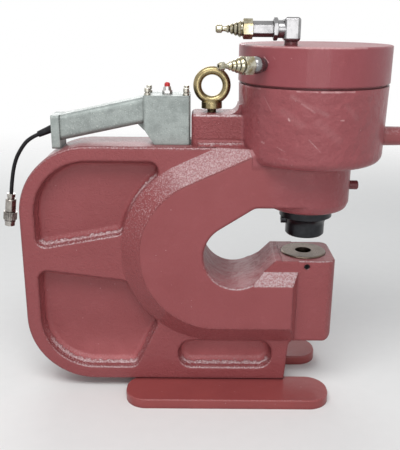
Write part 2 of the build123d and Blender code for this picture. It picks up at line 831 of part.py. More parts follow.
def stripper():
    """Black sleeve screwed into the nose; its floor pulls the plate off the punch."""
    floor_z = stripper_base_z + stripper_floor
    flange_z = nose_base_z - stripper_flange
    flare_z = flange_z - stripper_flare
    spigot = stripper_thread_radius - thread_gap
    top_z = nose_base_z + stripper_spigot
    low = Polyline((stripper_hole_radius, stripper_base_z),
                   (stripper_radius - stripper_edge, stripper_base_z),
                   (stripper_radius, stripper_base_z + stripper_edge), (stripper_radius, flare_z))
    flare_radius = stripper_flare + stripper_edge
    flare = RadiusArc((stripper_radius, flare_z), (stripper_flange_radius, flange_z), flare_radius)
    high = Polyline((stripper_flange_radius, flange_z), (stripper_flange_radius, nose_base_z),
                    (spigot, nose_base_z), (spigot, top_z), (stripper_bore_radius, top_z),
                    (stripper_bore_radius, floor_z), (stripper_hole_radius, floor_z),
                    (stripper_hole_radius, stripper_base_z))
    body = revolve(Plane.XZ * make_face(low + flare + high), Axis.Z)
    hole = rod(lock_screw_shank_radius + thread_gap, 0, stripper_radius + overrun)
    seat_r = stripper_radius - lock_screw_seat
    spot = rod(lock_screw_radius + seat_gap, seat_r, stripper_flange_radius + overrun)
    return body - facing((0, 0, lock_screw_z), (-1, 0, 0)) * (hole + spot)


def stripper_lock_screw():
    head_r = stripper_radius - lock_screw_seat
    body = rod(lock_screw_radius, head_r, head_r + lock_screw_head)
    body += rod(lock_screw_shank_radius, stripper_bore_radius + seat_gap, head_r)
    body -= hex_rod(lock_screw_flats, head_r + lock_screw_head - lock_screw_socket, head_r + lock_screw_head)
    return facing((0, 0, lock_screw_z), (-1, 0, 0)) * body


def eyebolt():
    """Forged lifting eye; its ring stands in the middle plane of the frame."""
    collar_top_z = eye_collar_base_z + eye_collar_height
    bevel_z = collar_top_z - eye_collar_bevel
    body = Pos(0, 0, eye_z) * (Rot(90, 0, 0) * Torus(eye_radius, eye_wire_radius))
    body += turned((0, eye_collar_base_z), (eye_collar_radius, eye_collar_base_z),
                   (eye_collar_radius, bevel_z), (eye_collar_radius - eye_collar_bevel, collar_top_z),
                   (0, collar_top_z))
    body += rod(eye_neck_radius, boss_top_z, eye_collar_base_z)
    body += rod(eye_thread_radius, boss_top_z - eye_thread_depth, boss_top_z)
    return Pos(eye_x, 0, 0) * body


def steering_bar():
    """Round bar let into the barrel, for swinging the machine on its eyebolt."""
    seat_x = bar_socket_x + seat_gap
    body = turned((0, seat_x), (bar_radius, seat_x), (bar_radius, barrel_radius),
                  (bar_end_radius, bar_end_x), (0, bar_end_x))
    end = body.faces().sort_by(Axis.Z)[-1]
    return facing((0, 0, bar_z), (1, 0, 0)) * fillet(end.edges(), bar_round)


def top_port_adapter():
    body = rod(adapter_radius, cap_top_z, cap_top_z + adapter_height)
    body += rod(port_thread_radius, cap_top_z - port_thread_depth + seat_gap, cap_top_z)
    body -= rod(passage_radius, cap_top_z - port_thread_depth, cap_top_z + adapter_height)
    return Pos(port_x, port_y, 0) * body


def top_elbow():
    """Forged elbow block that turns the top line towards the back of the frame."""
    half = elbow_width / 2
    body = fillet(Box(elbow_width, elbow_depth, elbow_height).edges(), elbow_round)
    outlet = facing((0, 0, 0), (-1, 0, 0))
    body += outlet * rod(elbow_boss_radius, half - elbow_round, half + elbow_boss)
    body -= outlet * (rod(passage_radius, 0, half)
                      + rod(elbow_thread_radius + thread_gap, half + elbow_boss - extension_spigot,
                            half + elbow_boss + overrun))
    body -= rod(passage_radius, -elbow_height, 0)
    return Pos(port_x, port_y, elbow_z) * body


def top_line(reach):
    """Place on the axis of the top line, at a distance from the elbow's middle."""
    return facing((port_x - reach, port_y, elbow_z), (-1, 0, 0))


def lock_nut():
    low = elbow_width / 2 + elbow_boss
    body = hex_rod(lock_nut_flats, 0, lock_nut_width)
    cone = turned((0, 0), (lock_nut_flats / 2 + running_gap, 0),
                  (lock_nut_flats / 2 + lock_nut_width, lock_nut_width / 2),
                  (lock_nut_flats / 2 + running_gap, lock_nut_width), (0, lock_nut_width))
    body = (body & cone) - rod(elbow_thread_radius + thread_gap, 0, lock_nut_width)
    return top_line(low) * body


def top_extension():
    low = elbow_width / 2 + elbow_boss + lock_nut_width
    spigot = lock_nut_width + extension_spigot - seat_gap
    body = hex_rod(extension_flats, 0, extension_length) + rod(elbow_thread_radius, -spigot, 0)
    return top_line(low) * (body - rod(passage_radius, -spigot, extension_length))


def nipple():
    """Ridged hose nipple that stands on its hexagon, with its tip pointing up."""
    corner = nipple_flats / 2 + running_gap
    hexagon = hex_rod(nipple_flats, 0, nipple_hex) & turned(
        (0, 0), (corner + nipple_chamfer, 0), (corner + nipple_chamfer, nipple_hex - nipple_chamfer),
        (corner - nipple_chamfer, nipple_hex), (0, nipple_hex))
    points = [(0, nipple_hex - nipple_chamfer)]
    radius = nipple_ridge_radius
    z = nipple_hex
    points.append((radius - nipple_ridge_depth, nipple_hex - nipple_chamfer))
    for _ in range(nipple_ridges):
        points.append((radius - nipple_ridge_depth, z + nipple_ridge_pitch / 4))
        points.append((radius, z + nipple_ridge_pitch / 2))
        radius -= nipple_ridge_step
        z += nipple_ridge_pitch
        points.append((radius, z))
    points.append((nipple_neck_radius, z + nipple_cone))
    z += nipple_cone + nipple_neck
    points.append((nipple_neck_radius, z - nipple_tip_edge))
    points.append((nipple_tip_radius, z))
    points.append((nipple_tip_radius, z + nipple_tip - nipple_tip_edge))
    points.append((nipple_tip_radius - nipple_tip_edge, z + nipple_tip))
    points.append((0, z + nipple_tip))
    return hexagon + turned(*points) - rod(nipple_bore_radius, 0, z + nipple_tip)


def top_nipple():
    reach = elbow_width / 2 + elbow_boss + lock_nut_width + extension_length
    return top_line(reach) * nipple()


def side_elbow_place():
    out = side_port_direction()
    reach = cap_radius + side_elbow_reach
    return (out[0] * reach, out[1] * reach, side_port_z)


def side_nipple_direction():
    turn = math.radians(side_nipple_turn)
    return (-math.cos(turn), -math.sin(turn), 0)


def side_elbow():
    """Round-backed elbow screwed into the side of the cap."""
    line = facing(side_elbow_place(), side_nipple_direction())
    face_radius = math.sqrt(side_elbow_radius ** 2 - side_elbow_face ** 2)
    back = ThreePointArc((0, -side_elbow_radius), (side_elbow_radius, 0), (face_radius, side_elbow_face))
    front = Polyline((face_radius, side_elbow_face), (0, side_elbow_face), (0, -side_elbow_radius))
    body = line * revolve(Plane.XZ * make_face(back + front), Axis.Z)
    root = facing((0, 0, side_port_z), side_port_direction())
    end = cap_radius + side_elbow_reach
    stub = root * rod(side_stub_radius, cap_radius - side_stub_radius, end)
    body += stub - rod(cap_radius, cap_base_z, cap_top_z)
    body += root * rod(port_thread_radius, cap_radius - port_thread_depth + seat_gap, end)
    body -= root * rod(passage_radius, cap_radius - port_thread_depth, end)
    return body - line * rod(passage_radius, 0, side_elbow_face)


def side_nipple():
    line = facing(side_elbow_place(), side_nipple_direction())
    return line * (Pos(0, 0, side_elbow_face) * nipple())


def handle_bolt_places():
    middle = (box_left_x + box_toe_run + box_right_x) / 2
    return (middle - handle_bolt_spread / 2, middle + handle_bolt_spread / 2)


def cover_screw_places():
    left = box_left_x + box_post_inset
    right = box_right_x - box_post_inset
    side = box_half - box_post_inset
    return [(x, y) for x in (left, right) for y in (-side, side)]


def handle_casting():
    """Aluminium handle: sloping grip and hollow switch box in one casting."""
    grip = slab(polygon((grip_left_x, grip_left_low_z), (box_left_x, grip_right_low_z),
                        (box_left_x, grip_right_low_z + grip_right_height),
                        (grip_left_x, grip_left_low_z + grip_left_height)), grip_half)
    long_edges = grip.edges().filter_by(lambda e: e.length > box_right_x - box_left_x)
    grip = fillet(long_edges, grip_round)
    toe = box_left_x + box_toe_run
    outline = polygon((box_left_x, box_top_z), (box_left_x, frame_top_z + box_toe_rise), (toe, frame_top_z),
                      (box_right_x, frame_top_z), (box_right_x, box_top_z))
    case = slab(outline, box_half)
    upright = case.edges().filter_by(Axis.Z)
    case = fillet(upright, box_round)
    inner = offset(outline, -box_wall, kind=Kind.INTERSECTION)
    room = slab(inner, box_half - box_wall)
    room += block((box_left_x + box_wall, -box_half + box_wall, box_top_z - 2 * box_wall),
                  (box_right_x - box_wall, box_half - box_wall, box_top_z + overrun))
    heel = polygon((box_left_x - box_heel_radius, grip_right_low_z), (box_left_x, grip_right_low_z),
                   (box_left_x, grip_right_low_z - box_heel_radius))
    heel_solid = slab(heel, grip_half - grip_round)
    body = grip + heel_solid + case - room
    for x, y in cover_screw_places():
        post = Pos(x, y, 0) * rod(box_post_radius, box_top_z - 2 * cover_screw_length, box_top_z)
        body += post
        body -= Pos(x, y, 0) * rod(
            cover_screw_radius + thread_gap, box_top_z - cover_screw_length, box_top_z)
    for x in handle_bolt_places():
        body -= Pos(x, 0, 0) * rod(
            handle_bolt_radius + thread_gap, frame_top_z - overrun, box_floor_z + overrun)
    for z in end_screw_places():
        body -= facing((grip_left_x, 0, z), (1, 0, 0)) * rod(
            end_screw_radius + thread_gap, -overrun, end_screw_length + seat_gap)
    return body


def end_screw_places():
    middle = grip_left_low_z + grip_left_height / 2
    return (middle + end_screw_spread, middle - end_screw_spread)


def shoulder_z(x):
    """Height of the frame's rounded shoulder at a place along x."""
    run = corner_x - x
    return corner_z + math.sqrt(frame_corner_radius ** 2 - run ** 2)


def handle_end_plate():
    """Plate that closes the grip, stands on the frame's shoulder and carries the cable."""
    left_x = grip_left_x - end_plate_thick
    low_z = shoulder_z(grip_left_x) + seat_gap
    plate = block((left_x, -end_plate_half, low_z), (grip_left_x, end_plate_half, end_plate_top_z))
    plate = fillet(plate.edges().filter_by(Axis.X), end_plate_round)
    for z in end_screw_places():
        line = facing((left_x, 0, z), (1, 0, 0))
        plate -= line * rod(end_screw_radius + thread_gap, 0, end_plate_thick)
        plate -= line * rod(end_screw_head_radius + thread_gap, 0, end_screw_head + seat_gap)
    return plate


def end_plate_screws():
    left_x = grip_left_x - end_plate_thick
    shank = end_plate_thick + end_screw_length
    screw = rod(end_screw_head_radius, seat_gap, end_screw_head + seat_gap)
    screw += rod(end_screw_radius, seat_gap, shank)
    return [facing((left_x, 0, z), (1, 0, 0)) * screw for z in end_screw_places()]


def handle_bolts():
    top_z = box_floor_z + handle_bolt_head
    bolt = rod(handle_bolt_head_radius, box_floor_z, top_z)
    bolt += rod(handle_bolt_radius, frame_top_z - handle_bolt_depth, box_floor_z)
    bolt -= hex_rod(handle_bolt_flats, top_z - handle_bolt_head / 2, top_z)
    return [Pos(x, 0, 0) * bolt for x in handle_bolt_places()]


def box_cover():
    cover = block((box_left_x, -box_half, box_top_z), (box_right_x, box_half, cover_top_z))
    cover = fillet(cover.edges().filter_by(Axis.Z), box_round)
    cover -= Pos(button_x, 0, 0) * rod(bushing_thread_radius + thread_gap, box_top_z, cover_top_z)
    for x, y in cover_screw_places():
        cover -= Pos(x, y, 0) * rod(cover_screw_radius + thread_gap, box_top_z, cover_top_z)
    return cover


def cover_screws():
    """Four slotted screws, each standing on a thick washer."""
    washer_z = cover_top_z + cover_washer
    head_z = washer_z + cover_neck
    top_z = head_z + cover_head
    screw = rod(cover_screw_radius, box_top_z - cover_screw_length + seat_gap, cover_top_z)
    screw += rod(cover_washer_radius, cover_top_z, washer_z) + rod(cover_neck_radius, washer_z, head_z)
    screw += rod(cover_head_radius, head_z, top_z)
    slot = block((-cover_head_radius, -cover_slot / 2, top_z - cover_slot_depth),
                 (cover_head_radius, cover_slot / 2, top_z))
    return [Pos(x, y, 0) * (screw - slot) for x, y in cover_screw_places()]


def button_bushing():
    hex_z = cover_top_z + bushing_hex
    top_z = hex_z + bushing_collar
    body = hex_rod(bushing_flats, cover_top_z, hex_z)
    body += turned((0, hex_z), (bushing_collar_radius, hex_z), (bushing_mouth_radius, top_z), (0, top_z))
    body += rod(bushing_thread_radius, box_top_z, cover_top_z)
    return Pos(button_x, 0, 0) * (body - rod(button_radius + running_gap, box_top_z, top_z))


def push_button():
    """Button whose shoulder bears under the bushing, so that it can't come out."""
    low_z = shoulder_top_z - button_shoulder
    body = turned((0, low_z), (button_shoulder_radius, low_z), (button_shoulder_radius, shoulder_top_z),
                  (button_radius, shoulder_top_z), (button_radius, button_top_z - button_dome),
                  (button_radius - button_dome, button_top_z), (0, button_top_z))
    return Pos(button_x, 0, 0) * body


def switch_body():
    """Contact block under the cover; its well takes the button's shoulder."""
    half = switch_width / 2
    well_z = shoulder_top_z - button_shoulder - button_travel - switch_room
    body = block((-half, -half, box_top_z - switch_height), (half, half, box_top_z))
    body = fillet(body.edges().filter_by(Axis.Z), switch_round)
    return Pos(button_x, 0, 0) * (body - rod(bushing_thread_radius, well_z, box_top_z))


def relief_direction():
    run_x = cable_route[1][0] - cable_route[0][0]
    run_z = cable_route[1][1] - cable_route[0][1]
    length = math.hypot(run_x, run_z)
    return (run_x / length, 0, run_z / length)


def strain_relief():
    """Tapered rubber sleeve between the end plate and the cable."""
    aim = relief_direction()
    plate_x = grip_left_x - end_plate_thick
    end_x, end_z = cable_route[0]
    reach = (plate_x - end_x) / -aim[0]
    sunk = reach + relief_root_radius
    flare = relief_root_radius + (relief_root_radius - relief_tip_radius) * (sunk / reach - 1)
    body = turned((0, -sunk), (flare, -sunk), (relief_tip_radius, 0), (0, 0))
    body = facing((end_x, 0, end_z), aim) * body
    half = 2 * relief_root_radius
    inside = block((plate_x, -half, end_z - half), (plate_x + 2 * half, half, end_plate_top_z + half))
    return body - inside


def control_cable():
    """Tube along the cable's route: straight runs joined by tangent arcs."""
    points = [Vector(x, 0, z) for x, z in cable_route]
    radii = []
    for before, here, after in zip(points, points[1:], points[2:]):
        turn = math.radians((here - before).get_angle(after - here))
        shorter = min((here - before).length, (after - here).length)
        radii.append(route_bend_share * shorter / math.tan(turn / 2))
    print("cable bend radii", [round(r, 1) for r in radii])
    path = FilletPolyline(*points, radius=radii)
    print("cable length", round(path.length, 1))
    start = facing(points[0], points[1] - points[0])
    return sweep(start * Circle(cable_radius), path=path)


def plug_place(reach):
    """Place on the plug's axis, at a distance from the end of the cable."""
    end = Vector(cable_route[-1][0], 0, cable_route[-1][1])
    before = Vector(cable_route[-2][0], 0, cable_route[-2][1])
    aim = (end - before).normalized()
    return Plane(origin=end + aim * reach, x_dir=(0, 1, 0), z_dir=aim)


def plug_gland():
    body = rod(gland_nut_radius, 0, gland_nut) + rod(gland_neck_radius, gland_nut, gland_nut + gland_neck)
    return plug_place(0) * body


def plug_shell():
    low = gland_nut + gland_neck
    tail_end = shell_length + shell_tail
    body = rod(shell_radius, 0, shell_length) + rod(shell_tail_radius, shell_length, tail_end)
    body = chamfer(body.faces().sort_by(Axis.Z)[0].edges(), shell_edge)
    body -= rod(insert_radius + running_gap, shell_length, tail_end)
    return plug_place(low) * body


def plug_ring():
    """Knurled coupling ring that turns freely on the tail of the shell."""
    low = gland_nut + gland_neck + shell_length + plug_ring_gap
    body = ring(shell_tail_radius + plug_ring_gap, plug_ring_radius, 0, plug_ring_length)
    groove = extrude(Circle(plug_ring_rib), plug_ring_length)
    cuts = PolarLocations(plug_ring_radius, plug_ring_ribs) * groove
    return plug_place(low) * (body - cuts)


def plug_insert():
    """Contact insert, whose flange keeps the coupling ring on the shell."""
    low = gland_nut + gland_neck + shell_length
    flange = shell_tail
    nose = flange + insert_flange
    body = rod(insert_radius, seat_gap, flange) + rod(insert_flange_radius, flange, nose)
    body += rod(insert_nose_radius, nose, nose + insert_nose)
    body -= rod(insert_recess_radius, nose + insert_nose - insert_recess, nose + insert_nose)
    return plug_place(low) * body


front_foot = foot_plate()

nodes = {
    "c_frame": c_frame(),
    "front_foot": front_foot,
    "rear_foot": mirror(front_foot, Plane.XZ),
    "foot_welds": Compound(foot_welds()),
    "die": die(),
    "die_set_screw": die_set_screw(),
    "cylinder_cap": cylinder_cap(),
    "cap_seal": cap_seal(),
    "transfer_tube": transfer_tube(),
    "ram": ram(),
    "piston_seal": piston_seal(),
    "wear_ring": wear_ring(),
    "tube_seal": tube_seal(),
    "guide_bush": guide_bush(),
    "rod_seal": rod_seal(),
    "rod_wiper": rod_wiper(),
    "bush_lock_screw": bush_lock_screw(),
    "punch": punch(),
    "punch_nut": punch_nut(),
    "stripper": stripper(),
    "stripper_lock_screw": stripper_lock_screw(),
    "eyebolt": eyebolt(),
    "steering_bar": steering_bar(),
    "top_port_adapter": top_port_adapter(),
    "top_elbow": top_elbow(),
    "top_lock_nut": lock_nut(),
    "top_extension": top_extension(),
    "top_nipple": top_nipple(),
    "side_elbow": side_elbow(),
    "side_nipple": side_nipple(),
    "handle_casting": handle_casting(),
    "handle_end_plate": handle_end_plate(),
    "end_plate_screws": Compound(end_plate_screws()),
    "handle_bolts": Compound(handle_bolts()),
    "box_cover": box_cover(),
    "cover_screws": Compound(cover_screws()),
    "button_bushing": button_bushing(),
    "push_button": push_button(),
    "switch_body": switch_body(),
    "strain_relief": strain_relief(),
    "control_cable": control_cable(),
    "plug_gland": plug_gland(),
    "plug_shell": plug_shell(),
    "plug_ring": plug_ring(),
    "plug_insert": plug_insert(),
}

os.makedirs("parts", exist_ok=True)
for name, solid in nodes.items():
    export_step(Pos(frame_shift, 0, 0) * solid, f"parts/{name}.step")
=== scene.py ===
import math

import bpy
from mathutils import Euler, Matrix, Vector


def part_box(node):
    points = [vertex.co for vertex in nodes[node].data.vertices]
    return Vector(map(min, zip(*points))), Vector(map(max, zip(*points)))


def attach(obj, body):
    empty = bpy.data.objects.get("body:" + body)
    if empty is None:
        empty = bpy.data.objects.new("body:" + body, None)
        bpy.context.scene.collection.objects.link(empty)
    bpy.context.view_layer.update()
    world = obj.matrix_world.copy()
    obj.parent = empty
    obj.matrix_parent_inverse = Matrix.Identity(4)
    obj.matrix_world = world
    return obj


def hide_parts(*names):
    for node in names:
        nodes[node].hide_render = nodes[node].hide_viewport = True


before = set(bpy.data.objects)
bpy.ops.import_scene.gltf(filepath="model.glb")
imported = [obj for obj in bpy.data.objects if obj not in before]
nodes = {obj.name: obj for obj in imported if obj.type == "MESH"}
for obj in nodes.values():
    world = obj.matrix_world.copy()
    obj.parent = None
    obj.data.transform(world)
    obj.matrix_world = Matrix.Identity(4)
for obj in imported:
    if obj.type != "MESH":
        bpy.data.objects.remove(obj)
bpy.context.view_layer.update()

# Studio floor, lamps and camera
# A round pale floor that fades out into a white background, under soft lamps.
# The camera faces the machine's broad side from the height of its top, and looks down a little.
FLOOR_RADIUS = 3.0
FLOOR_CLEAR = 1.1
FLOOR_SIDES = 96
FLOOR_COLOUR = (0.80, 0.80, 0.79, 1)
FLOOR_FIBRE = (0.83, 0.83, 0.82, 1)
SKY_COLOUR = (0.93, 0.96, 1.0, 1)
SKY_STRENGTH = 0.36
CAMERA_LENS = 51.9
CAMERA_PLACE = (-0.0388, -1.107, 0.6592)
CAMERA_PITCH = 72.1
CAMERA_ROLL = 0.43


def add_object(name, data):
    made = bpy.data.objects.new(name, data)
    bpy.context.scene.collection.objects.link(made)
    return made


def add(tree, kind, sockets=None, **settings):
    """Adds a shader node. A socket is given a plain value, or another node's output to link to."""
    made = tree.nodes.new(kind)
    for name, value in settings.items():
        setattr(made, name, value)
    for key, value in (sockets or {}).items():
        if isinstance(value, bpy.types.NodeSocket):
            tree.links.new(value, made.inputs[key])
        else:
            made.inputs[key].default_value = value
    return made


def new_material(name, constants):
    """Material with its Principled shader, whose plain values are set on the shader's own sockets."""
    made = bpy.data.materials.new(name)
    made.use_nodes = True
    shader = made.node_tree.nodes["Principled BSDF"]
    for key, value in constants.items():
        shader.inputs[key].default_value = value
    return made, made.node_tree, shader


def blend_colour(tree, factor, first, second, mode="MIX"):
    made = add(tree, "ShaderNodeMix", {"Factor": factor}, data_type="RGBA", blend_type=mode)
    for key, value in (("A", first), ("B", second)):
        socket = next(s for s in made.inputs if s.name == key and s.type == "RGBA")
        if isinstance(value, bpy.types.NodeSocket):
            tree.links.new(value, socket)
        else:
            socket.default_value = value
    return next(s for s in made.outputs if s.type == "RGBA")


def place_in(tree):
    """The point that is shaded, in the machine's own frame."""
    return add(tree, "ShaderNodeTexCoord").outputs["Object"]


def maths(tree, operation, first, second=0.0, clamp=False):
    sockets = {0: first, 1: second}
    return add(tree, "ShaderNodeMath", sockets, operation=operation, use_clamp=clamp).outputs[0]


def larger(tree, first, second):
    return maths(tree, "MAXIMUM", first, second)


def vector_maths(tree, operation, first, second=(0, 0, 0)):
    return add(tree, "ShaderNodeVectorMath", {0: first, 1: second}, operation=operation).outputs


def ramp(tree, value, low, high, to_low=0.0, to_high=1.0):
    """Smooth step of a value, from low to high."""
    sockets = {"Value": value, "From Min": low, "From Max": high, "To Min": to_low, "To Max": to_high}
    return add(tree, "ShaderNodeMapRange", sockets, interpolation_type="SMOOTHSTEP").outputs["Result"]


def noise(tree, vector, scale, detail=2.0, roughness=0.5):
    sockets = {"Vector": vector, "Scale": scale, "Detail": detail, "Roughness": roughness}
    return add(tree, "ShaderNodeTexNoise", sockets).outputs["Fac"]


floor_turns = [2 * math.pi * k / FLOOR_SIDES for k in range(FLOOR_SIDES)]
floor_rim = [(FLOOR_RADIUS * math.cos(turn), FLOOR_RADIUS * math.sin(turn), 0) for turn in floor_turns]
floor_mesh = bpy.data.meshes.new("studio_floor")
floor_mesh.from_pydata(floor_rim, [], [range(FLOOR_SIDES)])
floor = add_object("studio_floor", floor_mesh)
floor_paper, paper_tree, paper_shader = new_material(
    "floor_paper", {"Roughness": 0.9, "Specular IOR Level": 0.1})
paper_place = place_in(paper_tree)
paper_fibre = noise(paper_tree, paper_place, scale=40.0, detail=3.0)
paper_tone = blend_colour(paper_tree, paper_fibre, FLOOR_COLOUR, FLOOR_FIBRE)
paper_away = vector_maths(paper_tree, "LENGTH", paper_place)["Value"]
paper_fade = ramp(paper_tree, paper_away, FLOOR_RADIUS, FLOOR_CLEAR)
paper_tree.links.new(paper_tone, paper_shader.inputs["Base Color"])
paper_tree.links.new(paper_fade, paper_shader.inputs["Alpha"])
floor_mesh.materials.append(floor_paper)


def add_softbox(name, place, target, size, power):
    lamp = bpy.data.lights.new(name, "AREA")
    lamp.shape = "RECTANGLE"
    lamp.size, lamp.size_y = size
    lamp.energy = power
    made = add_object(name, lamp)
    made.location = place
    made.rotation_euler = (Vector(target) - Vector(place)).to_track_quat("-Z", "Y").to_euler()


add_softbox("key_softbox", place=(-0.3, -1.05, 2.0), target=(0, 0, 0.25), size=(1.7, 0.9), power=30.0)
add_softbox("front_softbox", place=(0, -2.6, 0.8), target=(0, 0, 0.3), size=(1.6, 1.2), power=17.0)
add_softbox("right_softbox", place=(2.2, -0.6, 1.2), target=(0.1, 0, 0.3), size=(0.5, 1.4), power=2.0)
add_softbox("back_softbox", place=(-0.6, 2.4, 1.6), target=(0, 0, 0.3), size=(1.6, 1.2), power=22.0)
world = bpy.data.worlds.new("studio")
bpy.context.scene.world = world
world.use_nodes = True
air = world.node_tree
air_light = air.nodes["Background"]
air_light.inputs["Color"].default_value = SKY_COLOUR
air_light.inputs["Strength"].default_value = SKY_STRENGTH
air_white = add(air, "ShaderNodeBackground", {"Color": (1, 1, 1, 1), "Strength": 1.0})
air_rays = add(air, "ShaderNodeLightPath").outputs
air_mirrored = larger(air, air_rays["Is Glossy Ray"], air_rays["Is Transmission Ray"])
air_seen = larger(air, air_rays["Is Camera Ray"], air_mirrored)
air_mix = add(air, "ShaderNodeMixShader", {0: air_seen, 1: air_light.outputs[0], 2: air_white.outputs[0]})
air.links.new(air_mix.outputs[0], air.nodes["World Output"].inputs["Surface"])

camera = add_object("photo_camera", bpy.data.cameras.new("photo_camera"))
camera.data.lens = CAMERA_LENS
camera.location = CAMERA_PLACE
camera_pitch = Euler((math.radians(CAMERA_PITCH), 0, 0)).to_matrix()
camera_roll = Matrix.Rotation(math.radians(CAMERA_ROLL), 3, "Z")
camera.rotation_euler = (camera_pitch @ camera_roll).to_euler()
bpy.context.scene.camera = camera
bpy.context.scene.view_settings.view_transform = "Standard"

# Frame casting
# One iron casting: rim plate with pockets, raised C-band, die block, press cylinder and boss.
# Filled, sprayed with maroon gloss paint over the rough cast skin, and smoothed on its flat faces.
PUNCH_X = 0.1485
MAROON = (0.268, 0.064, 0.069, 1)
MAROON_DEEP = (0.222, 0.046, 0.049, 1)
MAROON_PALE = (0.340, 0.095, 0.102, 1)
MAROON_LIFTED = (0.420, 0.118, 0.124, 1)
FILLER_MAUVE = (0.255, 0.068, 0.081, 1)
CORNER_SHADE = (0.075, 0.016, 0.020, 1)
SHEEN_PALE = (0.44, 0.30, 0.31, 1)
HIGHLIGHT_PALE = (0.74, 0.60, 0.61, 1)
SCUFF_AND_HIGHLIGHT_PINK = (0.62, 0.38, 0.38, 1)
CORNER_SHADE_SHARE = 0.45
SCUFF_ROUGHNESS = 0.25
BUMP_HEIGHT = 0.0011
NOISE_MIDDLE = 0.5


def new_group(name, inputs, outputs):
    """Shader node group; inputs are (name, socket type, default) and outputs (name, socket type)."""
    group = bpy.data.node_groups.new(name, "ShaderNodeTree")
    for label, kind, default in inputs:
        socket = group.interface.new_socket(label, in_out="INPUT", socket_type="NodeSocket" + kind)
        socket.default_value = default
    for label, kind in outputs:
        group.interface.new_socket(label, in_out="OUTPUT", socket_type="NodeSocket" + kind)
    return group, add(group, "NodeGroupInput").outputs, add(group, "NodeGroupOutput").inputs


def times(tree, first, second, clamp=False):
    return maths(tree, "MULTIPLY", first, second, clamp)


def plus(tree, first, second, clamp=False):
    return maths(tree, "ADD", first, second, clamp)


def rest_of(tree, share):
    return maths(tree, "SUBTRACT", 1.0, share)


def unsigned(tree, value):
    return maths(tree, "ABSOLUTE", value)


def scaled(tree, vector, amount):
    sockets = {0: vector, "Scale": amount}
    return add(tree, "ShaderNodeVectorMath", sockets, operation="SCALE").outputs["Vector"]


